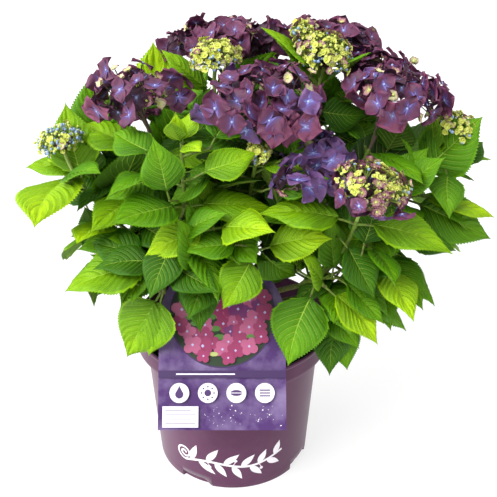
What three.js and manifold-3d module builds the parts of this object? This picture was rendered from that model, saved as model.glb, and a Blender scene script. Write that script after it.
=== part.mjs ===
// A hydrangea shrub in bloom, growing in its nursery pot, with the care label that hangs on the rim.
// Millimetres, +Z up, origin at the centre of the pot's underside, front towards -Y.
import * as THREE from 'three';
import { mergeVertices } from 'three/addons/utils/BufferGeometryUtils.js';
import Module from 'manifold-3d';

const wasm = await Module();
wasm.setup();

// ---- Driving dimensions ----

const GAP = 0.3;                     // clearance between neighbouring solids
const POT = {
  height: 182, collar: 25,           // the collar is the band round the top
  rimRadius: 115, collarRadius: 113, // outside, at the lip and at the collar's lower edge
  wallRadius: 102, footRadius: 91.5, // outside, under the collar and at the foot
  wall: 2.6, base: 12, inner: 3.5, sides: 24,
};
const NOTCH = { count: 4, first: -118, wide: 25, high: 10, deep: 4.5, slope: 6 };
const SOIL = { level: 153, mound: 7, inset: 1, top: 30 };
const LABEL = {
  width: 136, height: 184, thick: 1.2, lean: 36.5, centre: -9, belowRim: 56,
  tongueWide: 20, tongueThick: 1.6, tongueAbove: 7, tongueSunk: 1.2, tongueInside: 8, tongueDeep: 19,
};
const CROWN = { base: 22, top: 19, height: 18, flare: 7, sides: 12, outerSeats: 14, innerSeats: 5.5 };
const CANE = { foot: 3.6, tip: 2.9, sides: 6, steps: 4, upright: 0.5 };
const MAIN_BEND = 0.4;                // how far a main shoot keeps its cane's direction, per length
const TWIG = { foot: 2.6, tip: 1.9, sides: 3, steps: 3 };
const STALK = { foot: 1.9, tip: 2.3, sides: 3, steps: 2 };
const LEAF = {
  petiole: 0.2, petioleFoot: 0.4, petioleHalf: 1.3, bladeFrom: 0.17, keel: 1.4, fold: 0.08,
  // where the blade's sections stand along the leaf, and its half width there, both per length
  sections: [[0.37, 0.225], [0.66, 0.25]],
  topPair: 0.97,                     // how far up the shoot its last pair stands
  lowLean: 76, topLean: 60,          // degrees between shoot and leaf, at its lowest and last pair
  topSize: 0.88,                     // the last pair's length as a share of the lowest pair's
  level: 0.4,                        // the share of its rise or fall that a leaf gives up to lie flat
  tries: 12,
  turnSpread: 10, leanSpread: 6, rollSpread: 9, droopSpread: 0.18,
  spreadMore: 0.5,                   // how much wider the spreads get on each further try
  shorter: 0.08, shrink: 0.025,      // length lost at random, and on each further try
};
const SIDE = {
  count: 3, first: 0.08, last: 0.75, reach: 44, bare: 0.3, leaf: 84, droop: 0.6, foot: 2, tip: 1.8,
};
// The room that the foliage keeps to: a box, below `waist` a skirt that narrows downwards, and in front
// of the label nothing below `overLabel`.
const SPACE = {
  left: -247, right: 306, front: -136, back: 246, low: 150, high: 502,
  middle: [28, 40], reach: 270, waist: 310, slope: 0.55, overLabel: 244,
};
const HEAD = {
  tilt: 0.0016,                      // how far a head leans out, per mm from the pot's axis
  cover: 112,                        // degrees from the top of the dome down to its last floret
  core: 0.88, stalkEnd: 0.4, stalkKnee: 0.4,
};
const FLORET = { radius: 14, spread: 0.1, notch: 0.74, back: 0.1, rise: 0.6, root: 0.55 };
const BUD = { radius: 5, spread: 0.2, notch: 1, back: 0.5, rise: 0.6, root: 0.45 };

// Every limb is a cane from the crown to its tip, then the shoots of one mass of foliage. The first
// shoot carries on from the cane. The others leave it at share `at` of its length, and `arch` bends
// them: above 0 a shoot runs out first and then up, below 0 up first and then out. The leaf pairs stand
// from share `first` of a shoot to its end, each a quarter turn on from the next, and the last pair
// points to `turn` degrees, counted about the shoot. `droop` is the slope that a leaf has gained at its
// tip. Leaves level out, but not on a shoot that `hangs` or whose last leaves stand up at a `lean`.
const LIMBS = [
  {
    name: 'left', seat: 180, tip: [-58, -4, 258],
    shoots: [
      { tip: [-84, 0, 392], pairs: 4, first: 0.25, turn: 150, leaf: 108, droop: 0.6, head: 'left' },
      { at: 0.12, tip: [-170, 4, 366], arch: 0.35, pairs: 2, first: 0.55, turn: 92, leaf: 136, droop: 0.6,
        head: 'far_left' },
    ],
  },
  {
    name: 'front_left', seat: 246, tip: [-44, -34, 262],
    shoots: [
      { tip: [-43, -72, 366], pairs: 3, first: 0.5, turn: 200, leaf: 108, droop: 0.5 },
      { at: 0.95, tip: [-47, -62, 428], arch: 0.2, pairs: 2, first: 0.6, turn: 70, leaf: 46, droop: 0.2,
        lean: 38 },
      { at: 0.3, tip: [-68, -86, 308], arch: -0.3, pairs: 1, turn: 198, leaf: 126, droop: 0.4, hangs: true },
      { at: 0.35, tip: [-70, -86, 272], arch: 0.4, pairs: 1, turn: 270, leaf: 92, droop: 0.2, lean: 30 },
    ],
  },
  {
    name: 'centre', seat: 260, inner: true, tip: [6, -6, 270],
    shoots: [
      { tip: [32, -18, 410], pairs: 3, first: 0.5, turn: 20, leaf: 100, droop: 0.5, head: 'centre' },
      { at: 0.1, tip: [-16, -88, 346], arch: -0.3, pairs: 2, first: 0.72, turn: 5, leaf: 86, droop: 0.5,
        hangs: true },
      { at: 0.2, tip: [28, -92, 322], arch: -0.3, pairs: 2, first: 0.75, turn: 20, leaf: 92, droop: 0.5,
        hangs: true },
      { at: 0.5, tip: [26, -62, 404], arch: 0.1, pairs: 1, first: 0.7, turn: 0, leaf: 60, droop: 0.3,
        head: 'small_bud' },
    ],
  },
  {
    name: 'front_right', seat: 292, tip: [72, -44, 252],
    shoots: [
      { tip: [127, -90, 356], pairs: 3, first: 0.4, turn: 345, leaf: 108, droop: 0.7,
        head: 'half_open' },
      { at: 0.4, tip: [93, -46, 350], arch: -0.2, pairs: 1, first: 0.6, turn: 45, leaf: 84, droop: 0.4,
        head: 'front_right' },
      { at: 0.05, tip: [98, -98, 284], arch: -0.4, pairs: 2, first: 0.7, turn: 325, leaf: 94, droop: 0.4,
        hangs: true },
    ],
  },
  {
    name: 'right', seat: 358, tip: [70, 6, 268],
    shoots: [
      { tip: [152, 28, 384], pairs: 4, first: 0.3, turn: 300, leaf: 112, droop: 0.6,
        head: 'right' },
      { at: 0.3, tip: [226, 28, 372], arch: 0.4, pairs: 2, first: 0.5, turn: 10, leaf: 78, droop: 0.3,
        lean: 40, head: 'far_right' },
      { at: 0.32, tip: [196, 12, 338], arch: 0.5, pairs: 2, first: 0.5, turn: 355, leaf: 124, droop: 0.6 },
    ],
  },
  {
    name: 'low_right', seat: 325, tip: [92, -20, 226],
    shoots: [
      { tip: [160, -50, 288], pairs: 2, first: 0.6, turn: 300, leaf: 100, droop: 0.6 },
      { at: 0.3, tip: [186, -12, 310], arch: -0.2, pairs: 2, first: 0.6, turn: 20, leaf: 108, droop: 0.5 },
      { at: 0.1, tip: [112, -66, 236], arch: -0.4, pairs: 1, turn: 280, leaf: 84, droop: 0.4, hangs: true },
    ],
  },
  {
    name: 'low_left', seat: 213, tip: [-84, -20, 232],
    shoots: [
      { tip: [-130, -26, 322], pairs: 2, first: 0.6, turn: 258, leaf: 84, droop: 0.8, hangs: true },
    ],
  },
  {
    name: 'back_left', seat: 138, tip: [-48, 50, 264],
    shoots: [
      { tip: [-92, 120, 366], pairs: 4, first: 0.3, turn: 30, leaf: 112, droop: 0.6,
        head: 'back_left' },
      { at: 0.3, tip: [-150, 62, 352], arch: 0, pairs: 2, first: 0.6, turn: 190, leaf: 104, droop: 0.3,
        lean: 34 },
    ],
  },
  {
    name: 'top', seat: 100, inner: true, tip: [-6, 36, 282],
    shoots: [
      { tip: [-8, 112, 430], pairs: 4, first: 0.35, turn: 0, leaf: 104, droop: 0.5, head: 'top' },
      { at: 0.3, tip: [-17, 36, 442], arch: -0.2, pairs: 2, first: 0.5, turn: 150, leaf: 88, droop: 0.2,
        lean: 42, head: 'top_bud' },
    ],
  },
  {
    name: 'back_right', seat: 40, tip: [52, 46, 268],
    shoots: [
      { tip: [130, 114, 428], pairs: 4, first: 0.3, turn: 20, leaf: 108, droop: 0.5,
        head: 'back_right' },
      { at: 0.25, tip: [96, 58, 448], arch: -0.2, pairs: 2, first: 0.5, turn: 175, leaf: 92, droop: 0.2,
        lean: 45, head: 'right_bud' },
      { at: 0.2, tip: [190, 96, 330], arch: 0, pairs: 3, first: 0.45, turn: 60, leaf: 112, droop: 0.6 },
    ],
  },
  {
    name: 'back', seat: 90, tip: [4, 70, 250],
    shoots: [
      { tip: [40, 170, 362], pairs: 4, first: 0.3, turn: 80, leaf: 112, droop: 0.6, head: 'back' },
      { at: 0.15, tip: [-66, 166, 290], arch: 0, pairs: 3, first: 0.5, turn: 130, leaf: 108, droop: 0.6 },
      { at: 0.15, tip: [104, 150, 290], arch: 0, pairs: 2, first: 0.6, turn: 50, leaf: 108, droop: 0.6 },
    ],
  },
];

// Flower heads: the middle of the dome, its width and height, and how many florets or buds stand on it.
const HEADS = {
  left: { centre: [-98, 0, 455], wide: 96, high: 64, florets: 17 },
  far_left: { centre: [-182, 8, 402], wide: 46, high: 32, buds: 10 },
  centre: { centre: [36, -28, 456], wide: 128, high: 80, florets: 24 },
  front_right: { centre: [93, -38, 394], wide: 66, high: 62, florets: 12 },
  half_open: { centre: [135, -102, 394], wide: 76, high: 44, florets: 8, buds: 8 },
  right: { centre: [175, 30, 448], wide: 108, high: 74, florets: 18 },
  far_right: { centre: [243, 30, 410], wide: 44, high: 28, buds: 9 },
  top: { centre: [-5, 122, 478], wide: 112, high: 56, florets: 17 },
  top_bud: { centre: [-16, 28, 486], wide: 48, high: 34, buds: 11 },
  back_right: { centre: [134, 126, 474], wide: 80, high: 52, florets: 12 },
  right_bud: { centre: [98, 60, 484], wide: 62, high: 40, buds: 13 },
  small_bud: { centre: [28, -62, 416], wide: 20, high: 14, buds: 5 },
  back_left: { centre: [-98, 138, 408], wide: 88, high: 60, florets: 13 },
  back: { centre: [46, 186, 408], wide: 100, high: 66, florets: 16 },
};

const COLOURS = {
  pot: 0x715068, soil: 0x17120f, label: 0x7c5a98, crown: 0x5c5030, cane: 0x6a6a30,
  leaf: 0x5f9416, floret: 0x7c4078, bud: 0xa0a860,
};

// ---- Vectors, curves and seeded numbers ----

const UP = new THREE.Vector3(0, 0, 1);
const EAST = new THREE.Vector3(1, 0, 0);
const radians = THREE.MathUtils.degToRad;
const point = ([x, y, z]) => new THREE.Vector3(x, y, z);

function seeded(seed) {
  let state = Math.imul(seed + 1, 2654435761) >>> 0;
  return () => {
    state = (Math.imul(state, 1664525) + 1013904223) >>> 0;
    return state / 4294967296;
  };
}

// The part of `vector` square to the unit vector `axis`, as a unit vector.
function squareTo(axis, vector) {
  return vector.clone().addScaledVector(axis, -vector.dot(axis)).normalize();
}

// A limb's centre line from `foot` to `tip`.
function limbCurve(foot, tip, arch) {
  const reach = tip.clone().sub(foot);
  const out = 0.5 + 0.5 * arch;
  const middle = new THREE.Vector3(reach.x * out, reach.y * out, reach.z * (1 - out));
  return new THREE.QuadraticBezierCurve3(foot, middle.add(foot), tip);
}

// ---- Solids ----

// A closed body through rings of equal size, each counterclockwise about the direction of travel.
function loft(rings, tip) {
  const sides = rings[0].length;
  const points = rings.flat();
  const faces = [];
  const last = (rings.length - 1) * sides;
  for (let ring = 0; ring < last; ring += sides) {
    for (let side = 0; side < sides; side += 1) {
      const next = (side + 1) % sides;
      faces.push(ring + side, ring + next, ring + sides + next);
      faces.push(ring + side, ring + sides + next, ring + sides + side);
    }
  }
  for (let side = 1; side < sides - 1; side += 1) {
    faces.push(0, side + 1, side);
  }
  if (tip) {
    points.push(tip);
    for (let side = 0; side < sides; side += 1) {
      faces.push(last + side, last + (side + 1) % sides, points.length - 1);
    }
  } else {
    for (let side = 1; side < sides - 1; side += 1) {
      faces.push(last, last + side, last + side + 1);
    }
  }
  const geometry = new THREE.BufferGeometry().setFromPoints(points);
  geometry.setIndex(faces);
  return geometry;
}

function toSolid(geometry) {
  geometry.deleteAttribute('normal');
  geometry.deleteAttribute('uv');
  const merged = mergeVertices(geometry, 1e-3);
  const vertProperties = new Float32Array(merged.attributes.position.array);
  const triVerts = new Uint32Array(merged.index.array);
  return new wasm.Manifold(new wasm.Mesh({ numProp: 3, vertProperties, triVerts }));
}

function toGeometry(solid) {
  const mesh = solid.getMesh();
  const geometry = new THREE.BufferGeometry();
  geometry.setAttribute('position', new THREE.BufferAttribute(mesh.vertProperties, 3));
  geometry.setIndex(new THREE.BufferAttribute(mesh.triVerts, 1));
  return geometry;
}

const joined = (solids) => solids.slice(1).reduce((whole, next) => whole.add(next), solids[0]).simplify(0.1);

// A tapering limb along a curve from share `from` of it, cut off square at both ends.
function limbSolid(curve, { foot, tip, sides, steps }, from = 0) {
  const rings = [];
  for (let step = 0; step <= steps; step += 1) {
    const share = THREE.MathUtils.lerp(from, 1, step / steps);
    const centre = curve.getPoint(share);
    const along = curve.getTangent(share);
    const across = squareTo(along, EAST);
    const aside = along.clone().cross(across);
    const radius = THREE.MathUtils.lerp(foot, tip, share);
    rings.push(Array.from({ length: sides }, (_, side) => {
      const angle = 2 * Math.PI * side / sides;
      return centre.clone()
        .addScaledVector(across, radius * Math.cos(angle))
        .addScaledVector(aside, radius * Math.sin(angle));
    }));
  }
  return toSolid(loft(rings));
}

// ---- Solids already placed, for the clearance of what comes next ----

const placed = [];

function place(node, solid, blade = solid) {
  const box = solid.boundingBox();
  placed.push({ node, solid, blade, box });
}

function boxesMeet(one, other) {
  return [0, 1, 2].every((axis) => one.min[axis] - GAP < other.max[axis]
    && other.min[axis] - GAP < one.max[axis]);
}

// Clear of every other node's solids by the gap, and of the blades of its own node.
function isClear(node, solid, blade) {
  const box = solid.boundingBox();
  const room = 2 * GAP;
  return placed.every((other) => {
    if (!boxesMeet(box, other.box)) {
      return true;
    }
    if (other.node !== node) {
      return solid.minGap(other.solid, room) > GAP;
    }
    return blade.minGap(other.blade, room) > GAP;
  });
}

// ---- Pot, soil and label ----

// The pot's outer radius at a height below the collar.
function wallAt(z) {
  return THREE.MathUtils.lerp(POT.footRadius, POT.wallRadius, z / (POT.height - POT.collar));
}

function potSolid() {
  const { height, collar, rimRadius, collarRadius, wallRadius, footRadius, wall, base, inner } = POT;
  const step = height - collar;
  const outline = [
    [0, 0], [footRadius, 0], [wallRadius, step], [collarRadius, step], [rimRadius, height],
    [rimRadius - wall, height], [collarRadius - wall, step + inner], [wallRadius - wall, step - inner],
    [wallAt(base) - wall, base], [0, base],
  ];
  const profile = outline.map(([radius, z]) => new THREE.Vector2(radius, z));
  const body = toSolid(new THREE.LatheGeometry(profile, POT.sides).rotateX(Math.PI / 2));
  const notches = Array.from({ length: NOTCH.count }, (_, index) => {
    const middle = NOTCH.first + index * 360 / NOTCH.count;
    return notchSolid(radians(middle - NOTCH.wide / 2), radians(middle + NOTCH.wide / 2));
  });
  return notches.reduce((cut, notch) => cut.subtract(notch), body);
}

// A recess in the foot of the pot's wall: steep at one end and sloped at the other.
function notchSolid(from, to) {
  const inner = POT.footRadius - NOTCH.deep;
  const outer = POT.footRadius + 5;
  const rings = [[from, 1], [to - radians(NOTCH.slope), 1], [to, 0.1]].map(([angle, share]) => {
    const high = NOTCH.high * share;
    const corner = (radius, z) => new THREE.Vector3(radius * Math.cos(angle), radius * Math.sin(angle), z);
    return [corner(inner, -1), corner(inner, high), corner(outer, high), corner(outer, -1)];
  });
  return toSolid(loft(rings));
}

// The potting mix fills the pot from its base, GAP clear of the wall, and mounds up to the crown.
function soilSolid() {
  const slack = POT.wall + GAP;
  const foot = POT.base + GAP;
  const outline = [
    [0, foot], [wallAt(foot) - slack, foot], [wallAt(SOIL.level) - slack - SOIL.inset, SOIL.level],
    [CROWN.base + SOIL.top, SOIL.level + SOIL.mound], [0, SOIL.level + SOIL.mound],
  ];
  const profile = outline.map(([radius, z]) => new THREE.Vector2(radius, z));
  return toSolid(new THREE.LatheGeometry(profile, POT.sides).rotateX(Math.PI / 2));
}

// The care label leans back on the front of the rim; a tongue behind it hooks over the wall.
function labelSolid() {
  const half = LABEL.width / 2;
  const shape = new THREE.Shape();
  shape.moveTo(-half, -LABEL.belowRim);
  shape.lineTo(half, -LABEL.belowRim);
  shape.lineTo(half, LABEL.height - LABEL.belowRim - half);
  shape.absarc(0, LABEL.height - LABEL.belowRim - half, half, 0, Math.PI, false);
  shape.closePath();
  const card = new THREE.ExtrudeGeometry(shape, {
    depth: LABEL.thick, bevelEnabled: false, curveSegments: 14,
  });
  const lean = radians(LABEL.lean);
  card.rotateX(Math.PI / 2 - lean);
  // The card's back rests on the outer edge of the rim, GAP clear of it.
  const out = new THREE.Vector3(0, -Math.cos(lean), Math.sin(lean));
  const edge = new THREE.Vector3(LABEL.centre, -POT.rimRadius, POT.height);
  const back = edge.clone().addScaledVector(out, GAP);
  card.translate(back.x, back.y, back.z);

  const top = LABEL.tongueAbove;
  const start = new THREE.Vector3(0, back.y + top * Math.tan(lean) - LABEL.tongueSunk, POT.height + top);
  const drop = POT.height - LABEL.tongueDeep;
  const inside = -(POT.rimRadius - POT.wall) + LABEL.tongueInside;
  const thick = LABEL.tongueThick;
  const hook = new THREE.Shape();
  hook.moveTo(start.y, start.z);
  hook.lineTo(inside + thick, start.z);
  hook.lineTo(inside + thick, drop);
  hook.lineTo(inside, drop);
  hook.lineTo(inside, start.z - thick);
  hook.lineTo(start.y - thick * Math.tan(lean), start.z - thick);
  hook.closePath();
  const tongue = new THREE.ExtrudeGeometry(hook, { depth: LABEL.tongueWide, bevelEnabled: false });
  // The hook is drawn in (y, z) and extruded along x.
  tongue.applyMatrix4(new THREE.Matrix4().set(0, 0, 1, 0, 1, 0, 0, 0, 0, 1, 0, 0, 0, 0, 0, 1));
  tongue.translate(LABEL.centre - LABEL.tongueWide / 2, 0, 0);
  return toSolid(card).add(toSolid(tongue));
}

// ---- Crown and canes ----

const crownFoot = SOIL.level + SOIL.mound + GAP;
const crownTop = crownFoot + CROWN.height;

function crownSolid() {
  const { base, top, flare } = CROWN;
  const outline = [
    [0, crownFoot], [base, crownFoot], [base * 0.92, crownFoot + 2], [top, crownFoot + flare],
    [top, crownTop - 1], [top - 1, crownTop], [0, crownTop],
  ];
  const profile = outline.map(([radius, z]) => new THREE.Vector2(radius, z));
  return toSolid(new THREE.LatheGeometry(profile, CROWN.sides).rotateX(Math.PI / 2));
}

// A cane leaves the crown upright and bends out to its tip.
function caneCurve({ seat, inner, tip }) {
  const radius = inner ? CROWN.innerSeats : CROWN.outerSeats;
  const angle = radians(seat);
  const foot = new THREE.Vector3(radius * Math.cos(angle), radius * Math.sin(angle), crownTop + GAP);
  const end = point(tip);
  const middle = foot.clone().addScaledVector(UP, CANE.upright * (end.z - foot.z));
  return new THREE.QuadraticBezierCurve3(foot, middle, end);
}

// ---- Leaves ----

// The frame of a leaf: `along` its midrib at the root, `face` square to the blade, `across` it.
function leafFrame(tangent, angle, lean, roll, level) {
  const east = squareTo(tangent, EAST);
  const north = tangent.clone().cross(east);
  const radial = east.multiplyScalar(Math.cos(angle)).addScaledVector(north, Math.sin(angle));
  const along = tangent.clone().multiplyScalar(Math.cos(lean)).addScaledVector(radial, Math.sin(lean));
  along.z *= 1 - level;
  along.normalize();
  const above = tangent.clone().multiplyScalar(0.5).add(UP);
  const face = squareTo(along, above).applyAxisAngle(along, roll);
  const across = face.clone().cross(along);
  return { along, face, across };
}

// The point of a leaf's midrib at a share of its length.
function leafPoint(root, { along, face }, length, droop, share) {
  return root.clone()
    .addScaledVector(along, length * share)
    .addScaledVector(face, -0.5 * length * droop * share * share);
}

// The leaf's sections from share `from` of its length to its tip, as a closed body.
function leafSolid(root, frame, length, droop, from) {
  const { along, face, across } = frame;
  const section = (share, half, keel) => {
    const normal = face.clone().addScaledVector(along, droop * share).normalize();
    const centre = leafPoint(root, frame, length, droop, share);
    const lift = LEAF.fold * half;
    return [
      centre.clone().addScaledVector(across, half).addScaledVector(normal, lift),
      centre.clone().addScaledVector(across, -half).addScaledVector(normal, lift),
      centre.clone().addScaledVector(normal, -keel),
    ];
  };
  const rings = [
    section(from, LEAF.petioleFoot, LEAF.petioleFoot),
    section(LEAF.petiole, LEAF.petioleHalf, LEAF.petioleHalf),
    ...LEAF.sections.map(([share, half]) => section(share, half * length, LEAF.keel)),
  ];
  return toSolid(loft(rings, leafPoint(root, frame, length, droop, 1)));
}

const labelTop = -POT.rimRadius + (LABEL.height - LABEL.belowRim) * Math.sin(radians(LABEL.lean));

function insideSpace(solid, tip) {
  const { min, max } = solid.boundingBox();
  const reach = SPACE.reach - SPACE.slope * Math.max(0, SPACE.waist - tip.z);
  const beforeLabel = tip.y < labelTop && Math.abs(tip.x - LABEL.centre) < LABEL.width / 2;
  return Math.hypot(tip.x - SPACE.middle[0], tip.y - SPACE.middle[1]) < reach
    && !(beforeLabel && tip.z < SPACE.overLabel)
    && min[0] > SPACE.left && max[0] < SPACE.right
    && min[1] > SPACE.front && max[1] < SPACE.back
    && min[2] > SPACE.low && max[2] < SPACE.high;
}

// One leaf of a pair: turned and tilted a little further from the rule on each try, until it is clear.
function growLeaf(node, root, tangent, spec, seed) {
  for (let attempt = 0; attempt < LEAF.tries; attempt += 1) {
    const random = seeded(seed + attempt);
    const wander = (size) => size * (2 * random() - 1) * (1 + LEAF.spreadMore * attempt);
    const angle = radians(spec.angle + wander(LEAF.turnSpread));
    const lean = radians(spec.lean + wander(LEAF.leanSpread));
    const roll = radians(wander(LEAF.rollSpread));
    const droop = spec.droop * (1 + wander(LEAF.droopSpread));
    const length = spec.length * (1 - LEAF.shorter * random() - LEAF.shrink * attempt);
    const frame = leafFrame(tangent, angle, lean, roll, spec.level);
    const leaf = leafSolid(root, frame, length, droop, 0);
    const blade = leafSolid(root, frame, length, droop, LEAF.bladeFrom);
    if (insideSpace(leaf, leafPoint(root, frame, length, droop, 1)) && isClear(node, leaf, blade)) {
      place(node, leaf, blade);
      return leaf;
    }
  }
  return null;
}

// ---- Shoots, flower heads and masses ----

// Where each shoot of a limb runs.
function shootCurves(limb) {
  const cane = caneCurve(limb);
  const start = point(limb.tip).addScaledVector(cane.getTangent(1), GAP);
  const end = point(limb.shoots[0].tip);
  const middle = start.clone().addScaledVector(cane.getTangent(1), MAIN_BEND * start.distanceTo(end));
  const main = new THREE.QuadraticBezierCurve3(start, middle, end);
  return limb.shoots.map((shoot, index) => {
    if (index === 0) {
      return main;
    }
    return limbCurve(main.getPoint(shoot.at), point(shoot.tip), shoot.arch);
  });
}

// The short leafy side twigs of a main shoot, turned on by the golden angle from one to the next.
function sideTwigs(curve, seed) {
  const random = seeded(seed);
  const turn = 2 * Math.PI * random();
  return Array.from({ length: SIDE.count }, (_, index) => {
    const share = THREE.MathUtils.lerp(SIDE.first, SIDE.last, (index + 0.5 * random()) / SIDE.count);
    const angle = turn + index * Math.PI * (3 - Math.sqrt(5));
    const reach = SIDE.reach * (0.8 + 0.4 * random());
    const foot = curve.getPoint(share);
    const tip = foot.clone().add(new THREE.Vector3(
      reach * Math.cos(angle), reach * Math.sin(angle), reach * (0.2 + 0.5 * random())));
    const shoot = { pairs: 1, turn: 360 * random(), leaf: SIDE.leaf, droop: SIDE.droop };
    return { shoot, curve: limbCurve(foot, tip, 0) };
  });
}

function headAxis(centre) {
  return new THREE.Vector3(centre.x * HEAD.tilt, centre.y * HEAD.tilt, 1).normalize();
}

// A point on the dome of a head and the direction out of it, by a spiral from the top down.
function domeSpot(head, index, count, turn) {
  const centre = point(head.centre);
  const axis = headAxis(centre);
  const east = squareTo(axis, EAST);
  const north = axis.clone().cross(east);
  const rise = 1 - (index + 0.5) / count * (1 - Math.cos(radians(HEAD.cover)));
  const ring = Math.sqrt(1 - rise * rise);
  const angle = index * Math.PI * (3 - Math.sqrt(5)) + turn;
  const wide = head.wide / 2;
  const high = head.high / 2;
  const place = (size) => centre.clone()
    .addScaledVector(east, size * wide * ring * Math.cos(angle))
    .addScaledVector(north, size * wide * ring * Math.sin(angle))
    .addScaledVector(axis, size * high * rise);
  const out = east.clone().multiplyScalar(ring * Math.cos(angle) / wide)
    .addScaledVector(north, ring * Math.sin(angle) / wide)
    .addScaledVector(axis, rise / high)
    .normalize();
  return { place, out };
}

// A floret of four sepals, or a bud: a star or a square whose root is sunk in the head's core.
function floretSolid({ place, out }, corners, { notch, back, rise, root }, radius, spin) {
  const east = squareTo(out, UP.clone().addScaledVector(EAST, 0.3));
  const north = out.clone().cross(east);
  const rim = Array.from({ length: corners }, (_, index) => {
    const angle = spin + 2 * Math.PI * index / corners;
    const reach = radius * (index % 2 ? notch : 1);
    return place(1)
      .addScaledVector(east, reach * Math.cos(angle))
      .addScaledVector(north, reach * Math.sin(angle))
      .addScaledVector(out, -back * radius);
  });
  const points = [...rim, place(1).addScaledVector(out, rise), place(root)];
  const faces = [];
  for (let index = 0; index < corners; index += 1) {
    const next = (index + 1) % corners;
    faces.push(index, next, corners);
    faces.push(next, index, corners + 1);
  }
  const geometry = new THREE.BufferGeometry().setFromPoints(points);
  geometry.setIndex(faces);
  return toSolid(geometry);
}

// A flower head: its core, its stalk up from the shoot's end, and buds with open florets below them.
function headSolid(head, seed, shootEnd, shootTangent) {
  const random = seeded(seed);
  const turn = 2 * Math.PI * random();
  const centre = point(head.centre);
  const axis = headAxis(centre);
  const core = new THREE.IcosahedronGeometry(1, 0);
  core.scale(head.wide / 2 * HEAD.core, head.wide / 2 * HEAD.core, head.high / 2 * HEAD.core);
  core.applyQuaternion(new THREE.Quaternion().setFromUnitVectors(UP, axis));
  core.translate(centre.x, centre.y, centre.z);
  const start = shootEnd.clone().addScaledVector(shootTangent, GAP);
  const end = centre.clone().addScaledVector(axis, -head.high / 2 * HEAD.stalkEnd);
  const knee = start.clone().addScaledVector(shootTangent, start.distanceTo(end) * HEAD.stalkKnee);
  const parts = [toSolid(core), limbSolid(new THREE.QuadraticBezierCurve3(start, knee, end), STALK)];
  const florets = head.florets || 0;
  const total = florets + (head.buds || 0);
  for (let index = 0; index < total; index += 1) {
    const spot = domeSpot(head, index, total, turn);
    const spin = 2 * Math.PI * random();
    const kind = index >= total - florets ? FLORET : BUD;
    const radius = kind.radius * (1 + kind.spread * (2 * random() - 1));
    parts.push(floretSolid(spot, kind === FLORET ? 8 : 4, kind, radius, spin));
  }
  return joined(parts);
}

// Leaf pairs stand crosswise up the shoot, smaller and steeper towards its tip.
function shootLeaves(node, shoot, curve, seed) {
  const leaves = [];
  for (let pair = 0; pair < shoot.pairs; pair += 1) {
    const step = shoot.pairs > 1 ? pair / (shoot.pairs - 1) : 1;
    const share = THREE.MathUtils.lerp(shoot.first ?? LEAF.topPair, LEAF.topPair, step);
    for (let side = 0; side < 2; side += 1) {
      const spec = {
        angle: shoot.turn + 90 * (shoot.pairs - 1 - pair) + 180 * side,
        lean: THREE.MathUtils.lerp(LEAF.lowLean, shoot.lean ?? LEAF.topLean, step),
        level: shoot.hangs || shoot.lean ? 0 : LEAF.level,
        droop: shoot.droop,
        length: shoot.leaf * THREE.MathUtils.lerp(1, LEAF.topSize, step),
      };
      const leaf = growLeaf(node, curve.getPoint(share), curve.getTangent(share), spec,
        seed + 100 * pair + 50 * side);
      if (leaf) {
        leaves.push(leaf);
      }
    }
  }
  return leaves;
}

// ---- The plant ----

const plant = new THREE.Group();

function addMesh(name, solid, color, roughness) {
  const material = new THREE.MeshStandardMaterial({ color, roughness, metalness: 0 });
  const mesh = new THREE.Mesh(toGeometry(solid), material);
  mesh.name = name;
  plant.add(mesh);
}

function addFixed(name, solid, color, roughness) {
  place(name, solid);
  addMesh(name, solid, color, roughness);
}

addFixed('pot', potSolid(), COLOURS.pot, 0.45);
addFixed('soil', soilSolid(), COLOURS.soil, 1);
addFixed('plant_label', labelSolid(), COLOURS.label, 0.4);
addFixed('crown', crownSolid(), COLOURS.crown, 0.9);

const growth = LIMBS.map((limb, number) => {
  const curves = shootCurves(limb);
  addFixed(`cane_${limb.name}`, limbSolid(caneCurve(limb), CANE), COLOURS.cane, 0.8);
  const node = `leaves_${limb.name}`;
  const twigs = curves.map((curve) => limbSolid(curve, TWIG));
  twigs.forEach((twig) => place(node, twig));
  return { limb, number, node, curves, twigs };
});

for (const { limb, number, curves } of growth) {
  limb.shoots.forEach((shoot, index) => {
    if (shoot.head) {
      const curve = curves[index];
      const head = HEADS[shoot.head];
      const solid = headSolid(head, 10 * number + index, curve.getPoint(1), curve.getTangent(1));
      addFixed(`head_${shoot.head}`, solid, head.florets ? COLOURS.floret : COLOURS.bud, 0.7);
    }
  });
}

for (const { limb, number, node, curves, twigs } of growth) {
  const leaves = limb.shoots.flatMap((shoot, index) => (
    shootLeaves(node, shoot, curves[index], 10000 * number + 1000 * index)));
  const parts = [...twigs, ...leaves];
  const seed = 10000 * number + 500;
  sideTwigs(curves[0], seed).forEach((side, order) => {
    const size = { ...TWIG, foot: SIDE.foot, tip: SIDE.tip, steps: 1 };
    const twig = limbSolid(side.curve, size);
    if (isClear(node, twig, limbSolid(side.curve, size, SIDE.bare))) {
      place(node, twig);
      parts.push(twig, ...shootLeaves(node, side.shoot, side.curve, seed + 20 * order));
    }
  });
  addMesh(node, joined(parts), COLOURS.leaf, 0.55);
}

export default plant;
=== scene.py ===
"""A hydrangea shrub in its nursery pot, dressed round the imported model.

Each operator makes one piece, or one group of like pieces. Shapes are worked out in millimetres in the
model's own frame, and the meshes are in metres. Limbs, leaves and flower heads grow by the rule of the
model's source, carried on here to finer twigs, serrated leaves and single sepals.
"""

import functools
import math

import bpy
import numpy as np
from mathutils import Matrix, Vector, kdtree, noise


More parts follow.
